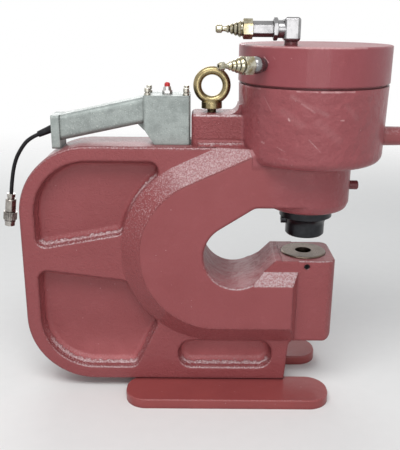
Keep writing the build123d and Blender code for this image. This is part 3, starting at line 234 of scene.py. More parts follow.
def build_cast_skin():
    """Paint over a cast skin: lumps of the sand mould, orange peel, clouds and specks of dust.

    Filled is the share that was filled and rubbed smooth. The sheen input lays a painted sheen
    on the grain of walls that face up; above 1 it is nearly white.
    """
    group, given, out = new_group(
        "cast_skin",
        [("Paint", "Color", MAROON), ("Deep", "Color", MAROON_DEEP), ("Pale", "Color", MAROON_PALE),
         ("Grain", "Float", 1.0), ("Flat Grain", "Float", 0.3), ("Peel", "Float", 0.25),
         ("Gloss", "Float", 0.34), ("Filled", "Float", 0.0), ("Painted Sheen", "Float", 0.0)],
        [("Color", "Color"), ("Roughness", "Float"), ("Height", "Float")])
    coords = add(group, "ShaderNodeTexCoord").outputs
    place = coords["Object"]
    facing = add(group, "ShaderNodeSeparateXYZ", {0: coords["Normal"]}).outputs

    # How rough the skin is: less on flat faces and where it is filled.
    flat_side = (0.955, 0.995)
    flat_level = (0.985, 0.998)
    rubbed_grain = (2.2, 1.0)
    filler_smooths = 0.93
    side = ramp(group, unsigned(group, facing["Y"]), *flat_side)
    level = ramp(group, unsigned(group, facing["Z"]), *flat_level)
    flat = larger(group, side, level)
    unfilled = rest_of(group, times(group, given["Filled"], filler_smooths))
    smoothed = times(group, flat, ramp(group, given["Flat Grain"], *rubbed_grain))
    cast = times(group, rest_of(group, smoothed), unfilled)
    grain = add(group, "ShaderNodeMix", {"Factor": flat, "A": given["Grain"], "B": given["Flat Grain"]})
    grain = times(group, grain.outputs["Result"], unfilled)

    # Relief: lumps and sand of the mould, peel of the paint, wide swells and dents in the filler.
    lump_height = 0.75
    sand_height = 0.7
    swell_height = 1.6
    dent_height = 4.0
    lumps = noise(group, place, scale=210.0, detail=3.0, roughness=0.55)
    sand = noise(group, place, scale=430.0)
    skin = plus(group, times(group, lumps, lump_height), times(group, sand, sand_height))
    skin = times(group, skin, grain)
    peel = times(group, noise(group, place, scale=900.0, detail=1.0), given["Peel"])
    swell = times(group, noise(group, place, scale=22.0), swell_height)
    dents = times(group, noise(group, place, scale=50.0, detail=3.0, roughness=0.55), given["Filled"])
    swell = plus(group, swell, times(group, dents, dent_height))
    height = plus(group, plus(group, skin, peel), swell)

    # Colour: clouds in the paint, filler under it and dust on it.
    cloud_share = 0.45
    filler_share = 0.4
    dust_share = 0.35
    dust_on_filler = 0.35
    cloud = ramp(group, noise(group, place, scale=9.0, detail=4.0, roughness=0.6), 0.30, 0.72)
    tone = blend_colour(group, times(group, cloud, cloud_share), given["Paint"], given["Deep"])
    tone = blend_colour(group, times(group, given["Filled"], filler_share), tone, FILLER_MAUVE)
    dusty = ramp(group, noise(group, place, scale=60.0, detail=5.0, roughness=0.7), 0.54, 0.80)
    dust = plus(group, dust_share, times(group, given["Filled"], dust_on_filler))
    tone = blend_colour(group, times(group, dusty, dust), tone, given["Pale"])

    # Rough walls: a painted sheen where they face up, painted shade in the sand's dips and painted glints on
    # its peaks that face up.
    coarse_per_grain = 0.45
    sheen_facing = (0.36, 0.62)
    upward_facing = (-0.10, 0.80)
    hollow_share = 0.55
    dip_share = 0.60
    peak_share = 0.55
    sheen_hides = 0.75
    coarse = times(group, times(group, given["Grain"], coarse_per_grain, clamp=True), cast)
    painted_sheen = maths(group, "MINIMUM", given["Painted Sheen"], 1.0)
    painted_sheen = times(group, ramp(group, facing["Z"], *sheen_facing), painted_sheen)
    sheen_on_skin = times(group, painted_sheen, coarse)
    whiter = maths(group, "SUBTRACT", given["Painted Sheen"], 1.0, clamp=True)
    tone = blend_colour(group, sheen_on_skin, tone, blend_colour(group, whiter, SHEEN_PALE, HIGHLIGHT_PALE))
    hollow = times(group, ramp(group, lumps, 0.56, 0.40), sheen_on_skin)
    tone = blend_colour(group, times(group, hollow, hollow_share), tone, given["Paint"])
    dip = times(group, ramp(group, sand, 0.50, 0.38), coarse)
    tone = blend_colour(group, times(group, dip, dip_share), tone, given["Deep"])
    upward = ramp(group, facing["Z"], *upward_facing)
    glint = times(group, upward, rest_of(group, times(group, painted_sheen, sheen_hides)))
    peak = times(group, ramp(group, sand, 0.52, 0.66), times(group, coarse, glint))
    tone = blend_colour(group, times(group, peak, peak_share), tone, HIGHLIGHT_PALE)

    # A few specks of dust caught in the paint, and matt patches.
    speck_rarity = 0.90
    speck_size = (0.10, 0.045)
    speck_share = 0.7
    speck_height = 0.3
    matt_share = 0.16
    cells = add(group, "ShaderNodeTexVoronoi", {"Vector": place, "Scale": 115.0})
    chance = add(group, "ShaderNodeSeparateColor", {0: cells.outputs["Color"]}).outputs[0]
    rare = maths(group, "GREATER_THAN", chance, speck_rarity)
    speck = times(group, rare, ramp(group, cells.outputs["Distance"], *speck_size))
    tone = blend_colour(group, times(group, speck, speck_share), tone, SCUFF_AND_HIGHLIGHT_PINK)
    matt = times(group, noise(group, place, scale=35.0, detail=3.0), matt_share)
    group.links.new(tone, out["Color"])
    group.links.new(plus(group, given["Gloss"], matt), out["Roughness"])
    group.links.new(plus(group, height, times(group, speck, speck_height)), out["Height"])
    return group


def build_mark_line():
    """Mask of one straight mark between two points, with ragged edges, for rub marks and for lines of
    painted highlight and sheen.
    """
    group, given, out = new_group(
        "mark_line",
        [("Start", "Vector", (0, 0, 0)), ("End", "Vector", (0, 0, 1)), ("Width", "Float", 0.001)],
        [("Mask", "Float")])
    place = place_in(group)
    from_start = vector_maths(group, "SUBTRACT", place, given["Start"])["Vector"]
    run = vector_maths(group, "SUBTRACT", given["End"], given["Start"])["Vector"]
    covered = vector_maths(group, "DOT_PRODUCT", from_start, run)["Value"]
    whole = vector_maths(group, "DOT_PRODUCT", run, run)["Value"]
    nearest = scaled(group, run, maths(group, "DIVIDE", covered, whole, clamp=True))
    to_mark = vector_maths(group, "SUBTRACT", from_start, nearest)["Vector"]
    away = vector_maths(group, "LENGTH", to_mark)["Value"]
    ragged_width = 1.7
    ragged = times(group, noise(group, place, scale=700.0, detail=4.0, roughness=0.7), ragged_width)
    share = maths(group, "DIVIDE", away, times(group, given["Width"], ragged))
    worn = ramp(group, noise(group, place, scale=1300.0, detail=3.0, roughness=0.6), 0.30, 0.62)
    group.links.new(times(group, ramp(group, share, 1.0, 0.1), worn), out["Mask"])
    return group


def build_crevice():
    """Mask of corners, grooves and threads, by how much nearby surface hides them; the paint takes it as
    painted shade.
    """
    group, given, out = new_group("crevice", [("Reach", "Float", 0.004)], [("Mask", "Float")])
    ragged_share = 0.5
    hidden = add(group, "ShaderNodeAmbientOcclusion", {"Distance": given["Reach"]}, samples=6)
    ragged = noise(group, place_in(group), scale=500.0, detail=3.0, roughness=0.6)
    ragged = times(group, ragged, ragged_share)
    ragged = maths(group, "SUBTRACT", ragged, NOISE_MIDDLE * ragged_share)
    open_share = plus(group, hidden.outputs["AO"], ragged)
    group.links.new(ramp(group, open_share, 0.85, 0.35), out["Mask"])
    return group


cast_skin = build_cast_skin()
mark_line = build_mark_line()
crevice = build_crevice()


def soften(tree, shader, height, distance, edge_radius):
    """Rounds the shading of sharp edges, then adds the surface's relief."""
    edge = add(tree, "ShaderNodeBevel", {"Radius": edge_radius}, samples=6)
    sockets = {"Height": height, "Distance": distance, "Normal": edge.outputs["Normal"]}
    bump = add(tree, "ShaderNodeBump", sockets)
    tree.links.new(bump.outputs["Normal"], shader.inputs["Normal"])


def paint(name, edge_radius, coat, marks=(), relief=BUMP_HEIGHT, reach=0.012, **skin_values):
    """Maroon paint with painted shade in its corners; marks are rub marks and lines of painted highlight, as
    (start, end, width, strength).
    """
    made, tree, shader = new_material(
        name, {"Coat Weight": coat, "Coat Roughness": 0.08, "Specular IOR Level": 0.24})
    skin_sockets = {label.replace("_", " ").title(): value for label, value in skin_values.items()}
    skin = add(tree, "ShaderNodeGroup", skin_sockets, node_tree=cast_skin)
    # Painted shade: the paint is darker where nearby surface hides it, in corners and recesses.
    corner = add(tree, "ShaderNodeGroup", {"Reach": reach}, node_tree=crevice)
    shade = times(tree, corner.outputs["Mask"], CORNER_SHADE_SHARE)
    tone = blend_colour(tree, shade, skin.outputs["Color"], CORNER_SHADE)
    rough = skin.outputs["Roughness"]
    # Rub marks, and lines of painted highlight and sheen.
    for start, end, width, strength in marks:
        mark_sockets = {"Start": start, "End": end, "Width": width}
        mark = add(tree, "ShaderNodeGroup", mark_sockets, node_tree=mark_line)
        rubbed = times(tree, mark.outputs["Mask"], strength)
        tone = blend_colour(tree, rubbed, tone, SCUFF_AND_HIGHLIGHT_PINK)
        rough = plus(tree, rough, times(tree, rubbed, SCUFF_ROUGHNESS), clamp=True)
    tree.links.new(tone, shader.inputs["Base Color"])
    tree.links.new(rough, shader.inputs["Roughness"])
    soften(tree, shader, skin.outputs["Height"], relief, edge_radius)
    return made, tree, shader, skin


def wear(material, *names):
    """Gives CAD pieces their finish."""
    for name in names:
        nodes[name].data.materials.clear()
        nodes[name].data.materials.append(material)


def on_drum(radius, turn, height):
    """Point on an upright drum about the punch axis; turn 0 faces the operator."""
    angle = math.radians(turn)
    return (PUNCH_X + radius * math.sin(angle), -radius * math.cos(angle), height)


# Marks on the cylinder: (turn, height) of both ends, then width and strength. The broad faint streaks are a
# painted sheen, the narrow marks are rub marks and scratches, and the row along the top edge is a painted
# highlight.
BARREL_RADIUS = 0.1235
barrel_marks = [
    # Broad faint diagonal streaks: painted sheen.
    ((-23.5, 0.543), (1.7, 0.517), 0.0070, 0.18),
    ((-16.3, 0.533), (-7.2, 0.521), 0.0032, 0.26),
    ((-30.0, 0.520), (-16.0, 0.500), 0.0110, 0.10),
    ((-4.0, 0.505), (12.0, 0.478), 0.0120, 0.08),
    ((16.0, 0.530), (24.0, 0.512), 0.0080, 0.08),
    # Rub marks, scratches and bright spots.
    ((-9.9, 0.4785), (-1.5, 0.4605), 0.0020, 0.75),
    ((-33.4, 0.4636), (-27.2, 0.4573), 0.0022, 0.55),
    ((-25.3, 0.5089), (-24.7, 0.5068), 0.0030, 1.00),
    ((-47.2, 0.4683), (-45.2, 0.4671), 0.0028, 1.00),
    ((12.2, 0.5087), (14.3, 0.5086), 0.0022, 0.70),
    ((-46.1, 0.5395), (-39.3, 0.5193), 0.0014, 0.28),
    ((-31.9, 0.4462), (-25.3, 0.4455), 0.0034, 0.18),
    # Along the top edge, under the cap: a painted highlight of the edge.
    ((-66.0, 0.5512), (-50.0, 0.5512), 0.0022, 0.60),
    ((-20.0, 0.5512), (-6.0, 0.5512), 0.0024, 0.70),
    ((-3.0, 0.5512), (9.0, 0.5512), 0.0030, 1.00),
    ((10.0, 0.5512), (21.0, 0.5512), 0.0024, 0.80),
]
NOSE_RADIUS = 0.073
nose_marks = [
    ((-43.5, 0.382), (-42.0, 0.382), 0.0026, 1.00),
    ((-36.0, 0.382), (-34.5, 0.382), 0.0026, 1.00),
]
casting_marks = [
    (on_drum(radius, *start), on_drum(radius, *end), width, strength)
    for radius, rows in ((BARREL_RADIUS, barrel_marks), (NOSE_RADIUS, nose_marks))
    for start, end, width, strength in rows
]
CASTING_COAT = 0.24
casting, casting_tree, casting_shader, casting_skin = paint(
    "casting_paint", edge_radius=0.007, coat=CASTING_COAT, marks=casting_marks, reach=0.013)


def away_from(tree, ways, centre):
    """Distance from a line through a point; ways holds 0 for the line's own way, 1 for those across it."""
    local = vector_maths(tree, "SUBTRACT", place_in(tree), centre)["Vector"]
    across = vector_maths(tree, "MULTIPLY", local, ways)["Vector"]
    return vector_maths(tree, "LENGTH", across)["Value"]


def casting_step(value, limits, *levels):
    """Smooth step in the casting's paint between two limits, from the first level to the second."""
    return ramp(casting_tree, value, *limits, *levels)


def casting_product(first, second):
    return times(casting_tree, first, second)


# The cylinder, its nose and the throat are filled and rubbed down. Each pair of limits runs from
# where a mask is 0 to where it is 1.
BARREL_REACH = (0.1275, 0.1255)
BARREL_FOOT = (0.418, 0.428)
NOSE_REACH = (0.115, 0.078)
NOSE_FOOT = (0.32, 0.34)
NOSE_FILLED = 0.8
THROAT_CENTRE = (0.025, 0, 0.267)
THROAT_REACH = (0.0820, 0.0800)
THROAT_FACING = (0.25, 0.10)
casting_coords = add(casting_tree, "ShaderNodeTexCoord").outputs
casting_xyz = add(casting_tree, "ShaderNodeSeparateXYZ", {0: casting_coords["Object"]}).outputs
casting_facing = add(casting_tree, "ShaderNodeSeparateXYZ", {0: casting_coords["Normal"]}).outputs
casting_height = casting_xyz["Z"]
casting_depth = unsigned(casting_tree, casting_xyz["Y"])
side_facing = unsigned(casting_tree, casting_facing["Y"])
from_punch = away_from(casting_tree, (1, 1, 0), (PUNCH_X, 0, 0))
from_throat = away_from(casting_tree, (1, 0, 1), THROAT_CENTRE)
on_barrel = casting_product(casting_step(from_punch, BARREL_REACH),
                            casting_step(casting_height, BARREL_FOOT))
on_nose = casting_product(casting_step(from_punch, NOSE_REACH, 0.0, NOSE_FILLED),
                          casting_step(casting_height, NOSE_FOOT))
in_throat = casting_product(casting_step(from_throat, THROAT_REACH),
                            casting_step(side_facing, THROAT_FACING))
filled = larger(casting_tree, on_barrel, larger(casting_tree, on_nose, in_throat))
casting_tree.links.new(filled, casting_skin.inputs["Filled"])
bare_throat = casting_product(in_throat, CASTING_COAT)
casting_coat = maths(casting_tree, "SUBTRACT", CASTING_COAT, bare_throat)
casting_tree.links.new(casting_coat, casting_shader.inputs["Coat Weight"])

# The band's face is rubbed smoother than the faces below it. Flat faces up at the boss are rougher.
OFF_BAND = (0.0715, 0.0690)
BAND_GRAIN = 0.3
RIM_GRAIN = 1.3
TOP_HEIGHT = (0.462, 0.466)
TOP_ROUGHER = 2.0
face_grain = casting_step(casting_depth, OFF_BAND, BAND_GRAIN, RIM_GRAIN)
face_grain = casting_product(face_grain, casting_step(casting_height, TOP_HEIGHT, 1.0, TOP_ROUGHER))
casting_tree.links.new(face_grain, casting_skin.inputs["Flat Grain"])

# Sloping walls of the band that face up carry a painted sheen on their grain. Those of the pockets are
# smooth, with a ragged streak of painted highlight.
ABOVE_RIM = (0.0475, 0.0500)
BELOW_RIM = (0.0480, 0.0470)
FACING_OUT = (0.2, 0.4)
STREAK_START = (0.0310, 0.0350)
STREAK_END = (0.0425, 0.0385)
STREAK_RAGGED = 0.014
STREAK_WHITE = 2.0
WALL_GRAIN = 2.2
POCKET_GRAIN = 0.5
faces_out = casting_step(side_facing, FACING_OUT)
ragged = noise(casting_tree, casting_coords["Object"], scale=170.0, detail=3.0, roughness=0.6)
ragged = casting_product(maths(casting_tree, "SUBTRACT", ragged, NOISE_MIDDLE), STREAK_RAGGED)
ragged_depth = plus(casting_tree, casting_depth, ragged)
streak = casting_product(casting_step(ragged_depth, STREAK_START), casting_step(ragged_depth, STREAK_END))
streak = casting_product(streak, faces_out)
painted_sheen = larger(casting_tree, casting_step(casting_depth, ABOVE_RIM), casting_product(streak, STREAK_WHITE))
casting_tree.links.new(painted_sheen, casting_skin.inputs["Painted Sheen"])
in_pocket = casting_product(casting_step(casting_depth, BELOW_RIM), faces_out)
calm = casting_product(in_pocket, rest_of(casting_tree, streak))
wall_grain = casting_step(calm, (0.0, 1.0), WALL_GRAIN, POCKET_GRAIN)
casting_tree.links.new(wall_grain, casting_skin.inputs["Grain"])

# The floors of the slot and the lower pocket are painted paler, as painted light that lifts the shade under
# the band.
LIFT_DEPTH = (0.0400, 0.0300)
LIFT_HEIGHT = (0.13, 0.04)
# Painted light on the low floors, lifting their shade.
lifted_floor = casting_product(casting_step(casting_depth, LIFT_DEPTH), faces_out)
lifted_floor = casting_product(lifted_floor, casting_step(casting_height, LIFT_HEIGHT))
casting_colour = blend_colour(casting_tree, lifted_floor, MAROON, MAROON_LIFTED)
casting_tree.links.new(casting_colour, casting_skin.inputs["Paint"])
wear(casting, "c_frame")

# Foot plates and their welds
# Two flame-cut steel plates under the casting, welded to it and sprayed with the same paint.
# Their rolled tops are smoother than the casting.
PLATE_MAROON = (0.296, 0.065, 0.063, 1)
plate_paint = paint("plate_paint", edge_radius=0.002, coat=0.2, paint=PLATE_MAROON, grain=0.35,
                    flat_grain=0.12, peel=0.2, gloss=0.30)[0]
wear(plate_paint, "front_foot", "rear_foot", "foot_welds")

# Die and its set screw
# Hardened steel ring with a ground top, let into the die block. A black socket screw in the
# block's face holds it.
PUNCH_AXIS = (PUNCH_X, 0, 0)
STEEL = (0.30, 0.295, 0.28, 1)
STEEL_DULL = (0.18, 0.17, 0.16, 1)
DIE_STEEL = (0.148, 0.113, 0.090, 1)
DIE_STAIN = (0.098, 0.072, 0.055, 1)
BLACK = (0.006, 0.0065, 0.009, 1)
BLACK_WORN = (0.020, 0.021, 0.026, 1)
CREVICE_DARK = (0.025, 0.020, 0.016, 1)
CREVICE_ROUGHNESS = 0.4


def build_tool_marks():
    """Metal as a lathe or grinder leaves it: fine lines along one way, patches and small stains."""
    group, given, out = new_group(
        "tool_marks",
        [("Metal", "Color", STEEL), ("Stain", "Color", STEEL_DULL), ("Vector", "Vector", (0, 0, 0)),
         ("Stretch", "Vector", (1, 1, 1)), ("Lines", "Float", 1.0), ("Gloss", "Float", 0.25),
         ("Patches", "Float", 0.5)],
        [("Color", "Color"), ("Roughness", "Float"), ("Height", "Float")])
    stretched = vector_maths(group, "MULTIPLY", given["Vector"], given["Stretch"])["Vector"]
    lines = noise(group, stretched, scale=1.0, detail=3.0, roughness=0.65)
    patch = ramp(group, noise(group, place_in(group), scale=85.0, detail=4.0, roughness=0.6), 0.38, 0.70)
    stain = times(group, patch, given["Patches"])
    tone = blend_colour(group, stain, given["Metal"], given["Stain"])
    line_share = 0.5
    stain_roughness = 0.18
    line_roughness = 0.3
    streak = times(group, maths(group, "SUBTRACT", lines, NOISE_MIDDLE), line_share)
    streak = times(group, streak, given["Lines"])
    bright = plus(group, 0.0, streak, clamp=True)
    tone = blend_colour(group, bright, tone, (1, 1, 1, 1), "SOFT_LIGHT")
    rough = plus(group, given["Gloss"], times(group, stain, stain_roughness))
    rough = plus(group, rough, times(group, streak, line_roughness), clamp=True)
    group.links.new(tone, out["Color"])
    group.links.new(rough, out["Roughness"])
    group.links.new(times(group, lines, given["Lines"]), out["Height"])
    return group


tool_marks = build_tool_marks()


def polar(tree, centre, axis):
    """Coordinates (radius, along the axis, 0) about an axis, so that lines run round a turned piece."""
    local = vector_maths(tree, "SUBTRACT", place_in(tree), centre)["Vector"]
    along = vector_maths(tree, "DOT_PRODUCT", local, axis)["Value"]
    out = vector_maths(tree, "SUBTRACT", local, scaled(tree, axis, along))["Vector"]
    radius = vector_maths(tree, "LENGTH", out)["Value"]
    return add(tree, "ShaderNodeCombineXYZ", {"X": radius, "Y": along}).outputs["Vector"]


def metal(name, colour, stain, gloss, centre=None, stretch=(1400, 1400, 1400), lines=1.0, patches=0.5,
          darkening=0.7, reach=0.004, edge_radius=0.0006, relief=0.00008, metallic=1.0, coat=0.0):
    """Bare or plated metal. With a centre, the tool lines run round the upright axis through it."""
    made, tree, shader = new_material(
        name, {"Metallic": metallic, "Coat Weight": coat, "Coat Roughness": 0.2})
    vector = polar(tree, centre, (0, 0, 1)) if centre else place_in(tree)
    mark_sockets = {"Metal": colour, "Stain": stain, "Vector": vector, "Stretch": stretch,
                    "Lines": lines, "Gloss": gloss, "Patches": patches}
    marks = add(tree, "ShaderNodeGroup", mark_sockets, node_tree=tool_marks)
    # Darker in corners, grooves and threads, where nearby surface hides the metal.
    corner = add(tree, "ShaderNodeGroup", {"Reach": reach}, node_tree=crevice)
    darkened = times(tree, corner.outputs["Mask"], darkening)
    tone = blend_colour(tree, darkened, marks.outputs["Color"], CREVICE_DARK)
    rough = plus(tree, marks.outputs["Roughness"], times(tree, darkened, CREVICE_ROUGHNESS), clamp=True)
    tree.links.new(tone, shader.inputs["Base Color"])
    tree.links.new(rough, shader.inputs["Roughness"])
    soften(tree, shader, marks.outputs["Height"], relief, edge_radius)
    return made


die_steel = metal("die_steel", DIE_STEEL, DIE_STAIN, gloss=0.28, centre=PUNCH_AXIS, patches=0.6, reach=0.008)
wear(die_steel, "die")
black_steel = metal("black_steel", BLACK, BLACK_WORN, gloss=0.34, centre=PUNCH_AXIS, metallic=0.6, darkening=0.3)
wear(black_steel, "die_set_screw", "handle_bolts")

# Cylinder cap and its seal
# Turned steel cap screwed into the cylinder on a rubber ring, sprayed with the same paint.
# Its side is smooth, with a rub mark beside the side fitting, and its front top edge has a painted
# highlight.
CAP_MAROON = (0.262, 0.065, 0.077, 1)
CAP_RADIUS = 0.125
CAP_EDGE_RADIUS = 0.1243
CAP_EDGE_HEIGHT = 0.6153
CAP_EDGE_STEP = 10
CAP_EDGE_WIDTH = 0.0038
RUBBER = (0.005, 0.005, 0.0065, 1)
RUBBER_DUSTY = (0.018, 0.018, 0.020, 1)
DUST_ROUGHNESS = 0.2
# Painted highlight along the cap's front top edge, in pieces: (turn, strength).
cap_edge_rows = [(-70, 0.8), (-59, 1.0), (-48, 0.7), (-37, 0.6), (-26, 0.8), (-15, 0.9), (-4, 1.0),
                 (7, 1.0), (18, 0.6)]
cap_marks = [
    (on_drum(CAP_RADIUS, -46.9, 0.5997), on_drum(CAP_RADIUS, -42.9, 0.5919), 0.0020, 0.75),
    (on_drum(CAP_RADIUS, -39, 0.601), on_drum(CAP_RADIUS, -37.5, 0.597), 0.0012, 0.25),
]
for turn, strength in cap_edge_rows:
    edge_start = on_drum(CAP_EDGE_RADIUS, turn, CAP_EDGE_HEIGHT)
    edge_end = on_drum(CAP_EDGE_RADIUS, turn + CAP_EDGE_STEP, CAP_EDGE_HEIGHT)
    cap_marks.append((edge_start, edge_end, CAP_EDGE_WIDTH, strength))
cap_paint = paint("cap_paint", edge_radius=0.0018, coat=0.14, marks=cap_marks, paint=CAP_MAROON, grain=0.16,
                  flat_grain=0.35, peel=0.22, gloss=0.32)[0]
wear(cap_paint, "cylinder_cap")


def rubber(name, gloss, grain, relief):
    """Moulded rubber with a fine grain and a film of dust."""
    made, tree, shader = new_material(name, {"Specular IOR Level": 0.25})
    place = place_in(tree)
    dust = ramp(tree, noise(tree, place, scale=120.0, detail=4.0, roughness=0.65), 0.48, 0.78)
    tree.links.new(blend_colour(tree, dust, RUBBER, RUBBER_DUSTY), shader.inputs["Base Color"])
    tree.links.new(plus(tree, gloss, times(tree, dust, DUST_ROUGHNESS)), shader.inputs["Roughness"])
    soften(tree, shader, noise(tree, place, grain), relief, edge_radius=0.0006)
    return made


seal_rubber = rubber("seal_rubber", gloss=0.45, grain=2500.0, relief=0.00004)
wear(seal_rubber, "cap_seal", "piston_seal", "tube_seal", "rod_seal", "rod_wiper")

# Ram and what guides it, inside the cylinder
# Ground steel piston and rod with a bearing ring, in a bronze bush. A painted screw in the nose
# locks the bush.
STEEL_GROUND = (0.42, 0.42, 0.43, 1)
BRONZE = (0.52, 0.33, 0.15, 1)
BRONZE_DARK = (0.33, 0.19, 0.09, 1)
BEARING_TAN = (0.30, 0.20, 0.09, 1)
BEARING_WORN = (0.38, 0.27, 0.14, 1)
SCREW_MAROON = (0.150, 0.030, 0.034, 1)
SCREW_DEEP = (0.10, 0.02, 0.024, 1)
SCREW_PALE = (0.24, 0.07, 0.08, 1)
WORN_ROUGHNESS = 0.15
ground_steel = metal("ground_steel", STEEL_GROUND, STEEL_DULL, gloss=0.16, centre=PUNCH_AXIS, patches=0.25)
wear(ground_steel, "ram", "transfer_tube")
wear(metal("turned_bronze", BRONZE, BRONZE_DARK, gloss=0.28, centre=PUNCH_AXIS), "guide_bush")


def plastic(name, colour, worn, gloss, coat=0.0):
    """Moulded plastic with faint flow clouds, scuffed a little paler."""
    made, tree, shader = new_material(name, {"Coat Weight": coat, "Coat Roughness": 0.1})
    place = place_in(tree)
    cloud = ramp(tree, noise(tree, place, scale=160.0, detail=4.0, roughness=0.6), 0.45, 0.80)
    tree.links.new(blend_colour(tree, cloud, colour, worn), shader.inputs["Base Color"])
    tree.links.new(plus(tree, gloss, times(tree, cloud, WORN_ROUGHNESS)), shader.inputs["Roughness"])
    soften(tree, shader, noise(tree, place, scale=1500.0), distance=0.00004, edge_radius=0.0005)
    return made


wear(plastic("bearing_plastic", BEARING_TAN, BEARING_WORN, gloss=0.5), "wear_ring")
deep_paint = paint("fitting_paint", edge_radius=0.0008, coat=0.35, relief=0.0005, paint=SCREW_MAROON,
                   deep=SCREW_DEEP, pale=SCREW_PALE, grain=0.2, flat_grain=0.2, peel=0.3, gloss=0.30)[0]
wear(deep_paint, "bush_lock_screw", "top_port_adapter")

# Punch, its nut and the stripper
# Ground punch held by a blackened nut, inside a blackened turned sleeve under the nose.
# A small socket screw locks the sleeve.
wear(metal("punch_steel", STEEL, STEEL_DULL, gloss=0.22, centre=PUNCH_AXIS, patches=0.35), "punch")
stripper_black = metal("stripper_black", BLACK, BLACK_WORN, gloss=0.30, centre=PUNCH_AXIS, metallic=0.55,
                       patches=0.7, darkening=0.2, coat=0.15, stretch=(1800, 1800, 1))
wear(stripper_black, "stripper", "stripper_lock_screw", "punch_nut")

# Lifting eye
# Forged steel eyebolt with a yellow passivated plating that has dulled to bronze.
# Its thread shows between the collar and the boss.
EYE_YELLOW = (0.29, 0.235, 0.125, 1)
EYE_DULL = (0.15, 0.115, 0.055, 1)
THREAD_RADIUS = 0.0078
THREAD_ROOT = 0.0068
THREAD_PITCH = 0.0020
THREAD_LOW = 0.5041
THREAD_TURNS = 2
THREAD_SIDES = 32
thread_profile = [(THREAD_ROOT, 0), (THREAD_RADIUS, 0.4), (THREAD_RADIUS, 0.6), (THREAD_ROOT, 1)]
eye_low, eye_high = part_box("eyebolt")
eye_x = (eye_low.x + eye_high.x) / 2


def thread_mesh(name):
    """Ridge of a screw thread, wound up round the bolt's neck."""
    points = []
    faces = []
    corners = len(thread_profile)
    for k in range(THREAD_TURNS * THREAD_SIDES + 1):
        turn = 2 * math.pi * k / THREAD_SIDES
        z = THREAD_LOW + THREAD_PITCH * k / THREAD_SIDES
        for radius, rise in thread_profile:
            x = eye_x + radius * math.cos(turn)
            y = radius * math.sin(turn)
            points.append((x, y, z + rise * THREAD_PITCH))
    for first in range(0, len(points) - corners, corners):
        ring = [(first + i, first + (i + 1) % corners) for i in range(corners)]
        faces += [(a, a + corners, b + corners, b) for a, b in ring]
    faces += [tuple(range(corners)), tuple(range(len(points) - 1, len(points) - corners - 1, -1))]
    mesh = bpy.data.meshes.new(name)
    mesh.from_pydata(points, [], faces)
    return mesh


eye_plate = metal("dull_yellow_plate", EYE_YELLOW, EYE_DULL, gloss=0.24, patches=0.70,
                  stretch=(160, 160, 160), lines=0.5, edge_radius=0.0015, relief=0.00022, darkening=0.75,
                  reach=0.010)
wear(eye_plate, "eyebolt")
eye_thread = add_object("eyebolt_thread", thread_mesh("eyebolt_thread"))
eye_thread.data.materials.append(eye_plate)
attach(eye_thread, "press_frame")

# Steering bar
# Round steel bar that the machine is swung round by, when it hangs from its eye.
# Let into the side of the cylinder and painted over with the rest.
bar_paint = paint("bar_paint", edge_radius=0.0015, coat=0.45, grain=0.9, flat_grain=0.3, peel=0.4,
                  gloss=0.24)[0]
wear(bar_paint, "steering_bar")

# Hose fittings on the cap
# Bright zinc elbow, lock nut and hexagon extension, and a second elbow at the side. The ridged
# nipples are yellow passivated.
ZINC = (0.265, 0.262, 0.266, 1)
ZINC_GREY = (0.135, 0.133, 0.140, 1)
STRAW = (0.52, 0.50, 0.41, 1)
STRAW_DARK = (0.34, 0.285, 0.17, 1)
STRAW_STAIN = (0.19, 0.17, 0.10, 1)
bright_zinc = metal("bright_zinc", ZINC, ZINC_GREY, gloss=0.22, patches=0.45, stretch=(260, 260, 260),
                    lines=0.5, edge_radius=0.0010, relief=0.00010, reach=0.006)
wear(bright_zinc, "top_elbow", "top_lock_nut", "top_extension", "side_elbow")


def tint_metal(material, metal_colour, stain_colour=None):
    """Links colours that change over the surface to a metal's tool marks."""
    tree = material.node_tree
    marks = next(n for n in tree.nodes if n.type == "GROUP" and n.node_tree == tool_marks)
    tree.links.new(metal_colour, marks.inputs["Metal"])
    if stain_colour:
        tree.links.new(stain_colour, marks.inputs["Stain"])


yellow_zinc = metal("yellow_zinc", STRAW, STRAW_STAIN, gloss=0.13, patches=0.6, stretch=(500, 500, 500),
                    lines=0.6, edge_radius=0.0005, reach=0.005, darkening=0.8)
zinc_tree = yellow_zinc.node_tree
zinc_patch = noise(zinc_tree, place_in(zinc_tree), scale=140.0, detail=3.0, roughness=0.6)
tint_metal(yellow_zinc, blend_colour(zinc_tree, ramp(zinc_tree, zinc_patch, 0.40, 0.62), STRAW, STRAW_DARK))
wear(yellow_zinc, "top_nipple", "side_nipple")

# Handle casting and its end plate
# Sand-cast aluminium grip and switch box, sprayed with grey lacquer and bolted to the rim.
# The lacquer is speckled by the cast skin, with rubbed flecks and dark pits, and is darker in its corners.
LACQUER = (0.292, 0.325, 0.309, 1)
LACQUER_DARK = (0.218, 0.246, 0.234, 1)
LACQUER_RUBBED = (0.58, 0.60, 0.57, 1)
LACQUER_PIT = (0.13, 0.14, 0.135, 1)
LACQUER_FLECKS = 0.55
LACQUER_PITS = 0.5
LACQUER_DARKENING = 0.45
LACQUER_GLOSS = 0.42
LACQUER_MATT = 0.15
LACQUER_SWELL = 1.2
LACQUER_RELIEF = 0.0005
SCREW_ZINC = (0.50, 0.48, 0.41, 1)
lacquer, lacquer_tree, lacquer_shader = new_material(
    "grey_lacquer", {"Metallic": 0.25, "Coat Weight": 0.15, "Coat Roughness": 0.25})
lacquer_place = place_in(lacquer_tree)
lacquer_cloud = noise(lacquer_tree, lacquer_place, scale=45.0, detail=4.0, roughness=0.6)
lacquer_cloud = ramp(lacquer_tree, lacquer_cloud, 0.35, 0.70)
lacquer_fleck = noise(lacquer_tree, lacquer_place, scale=520.0, roughness=0.6)
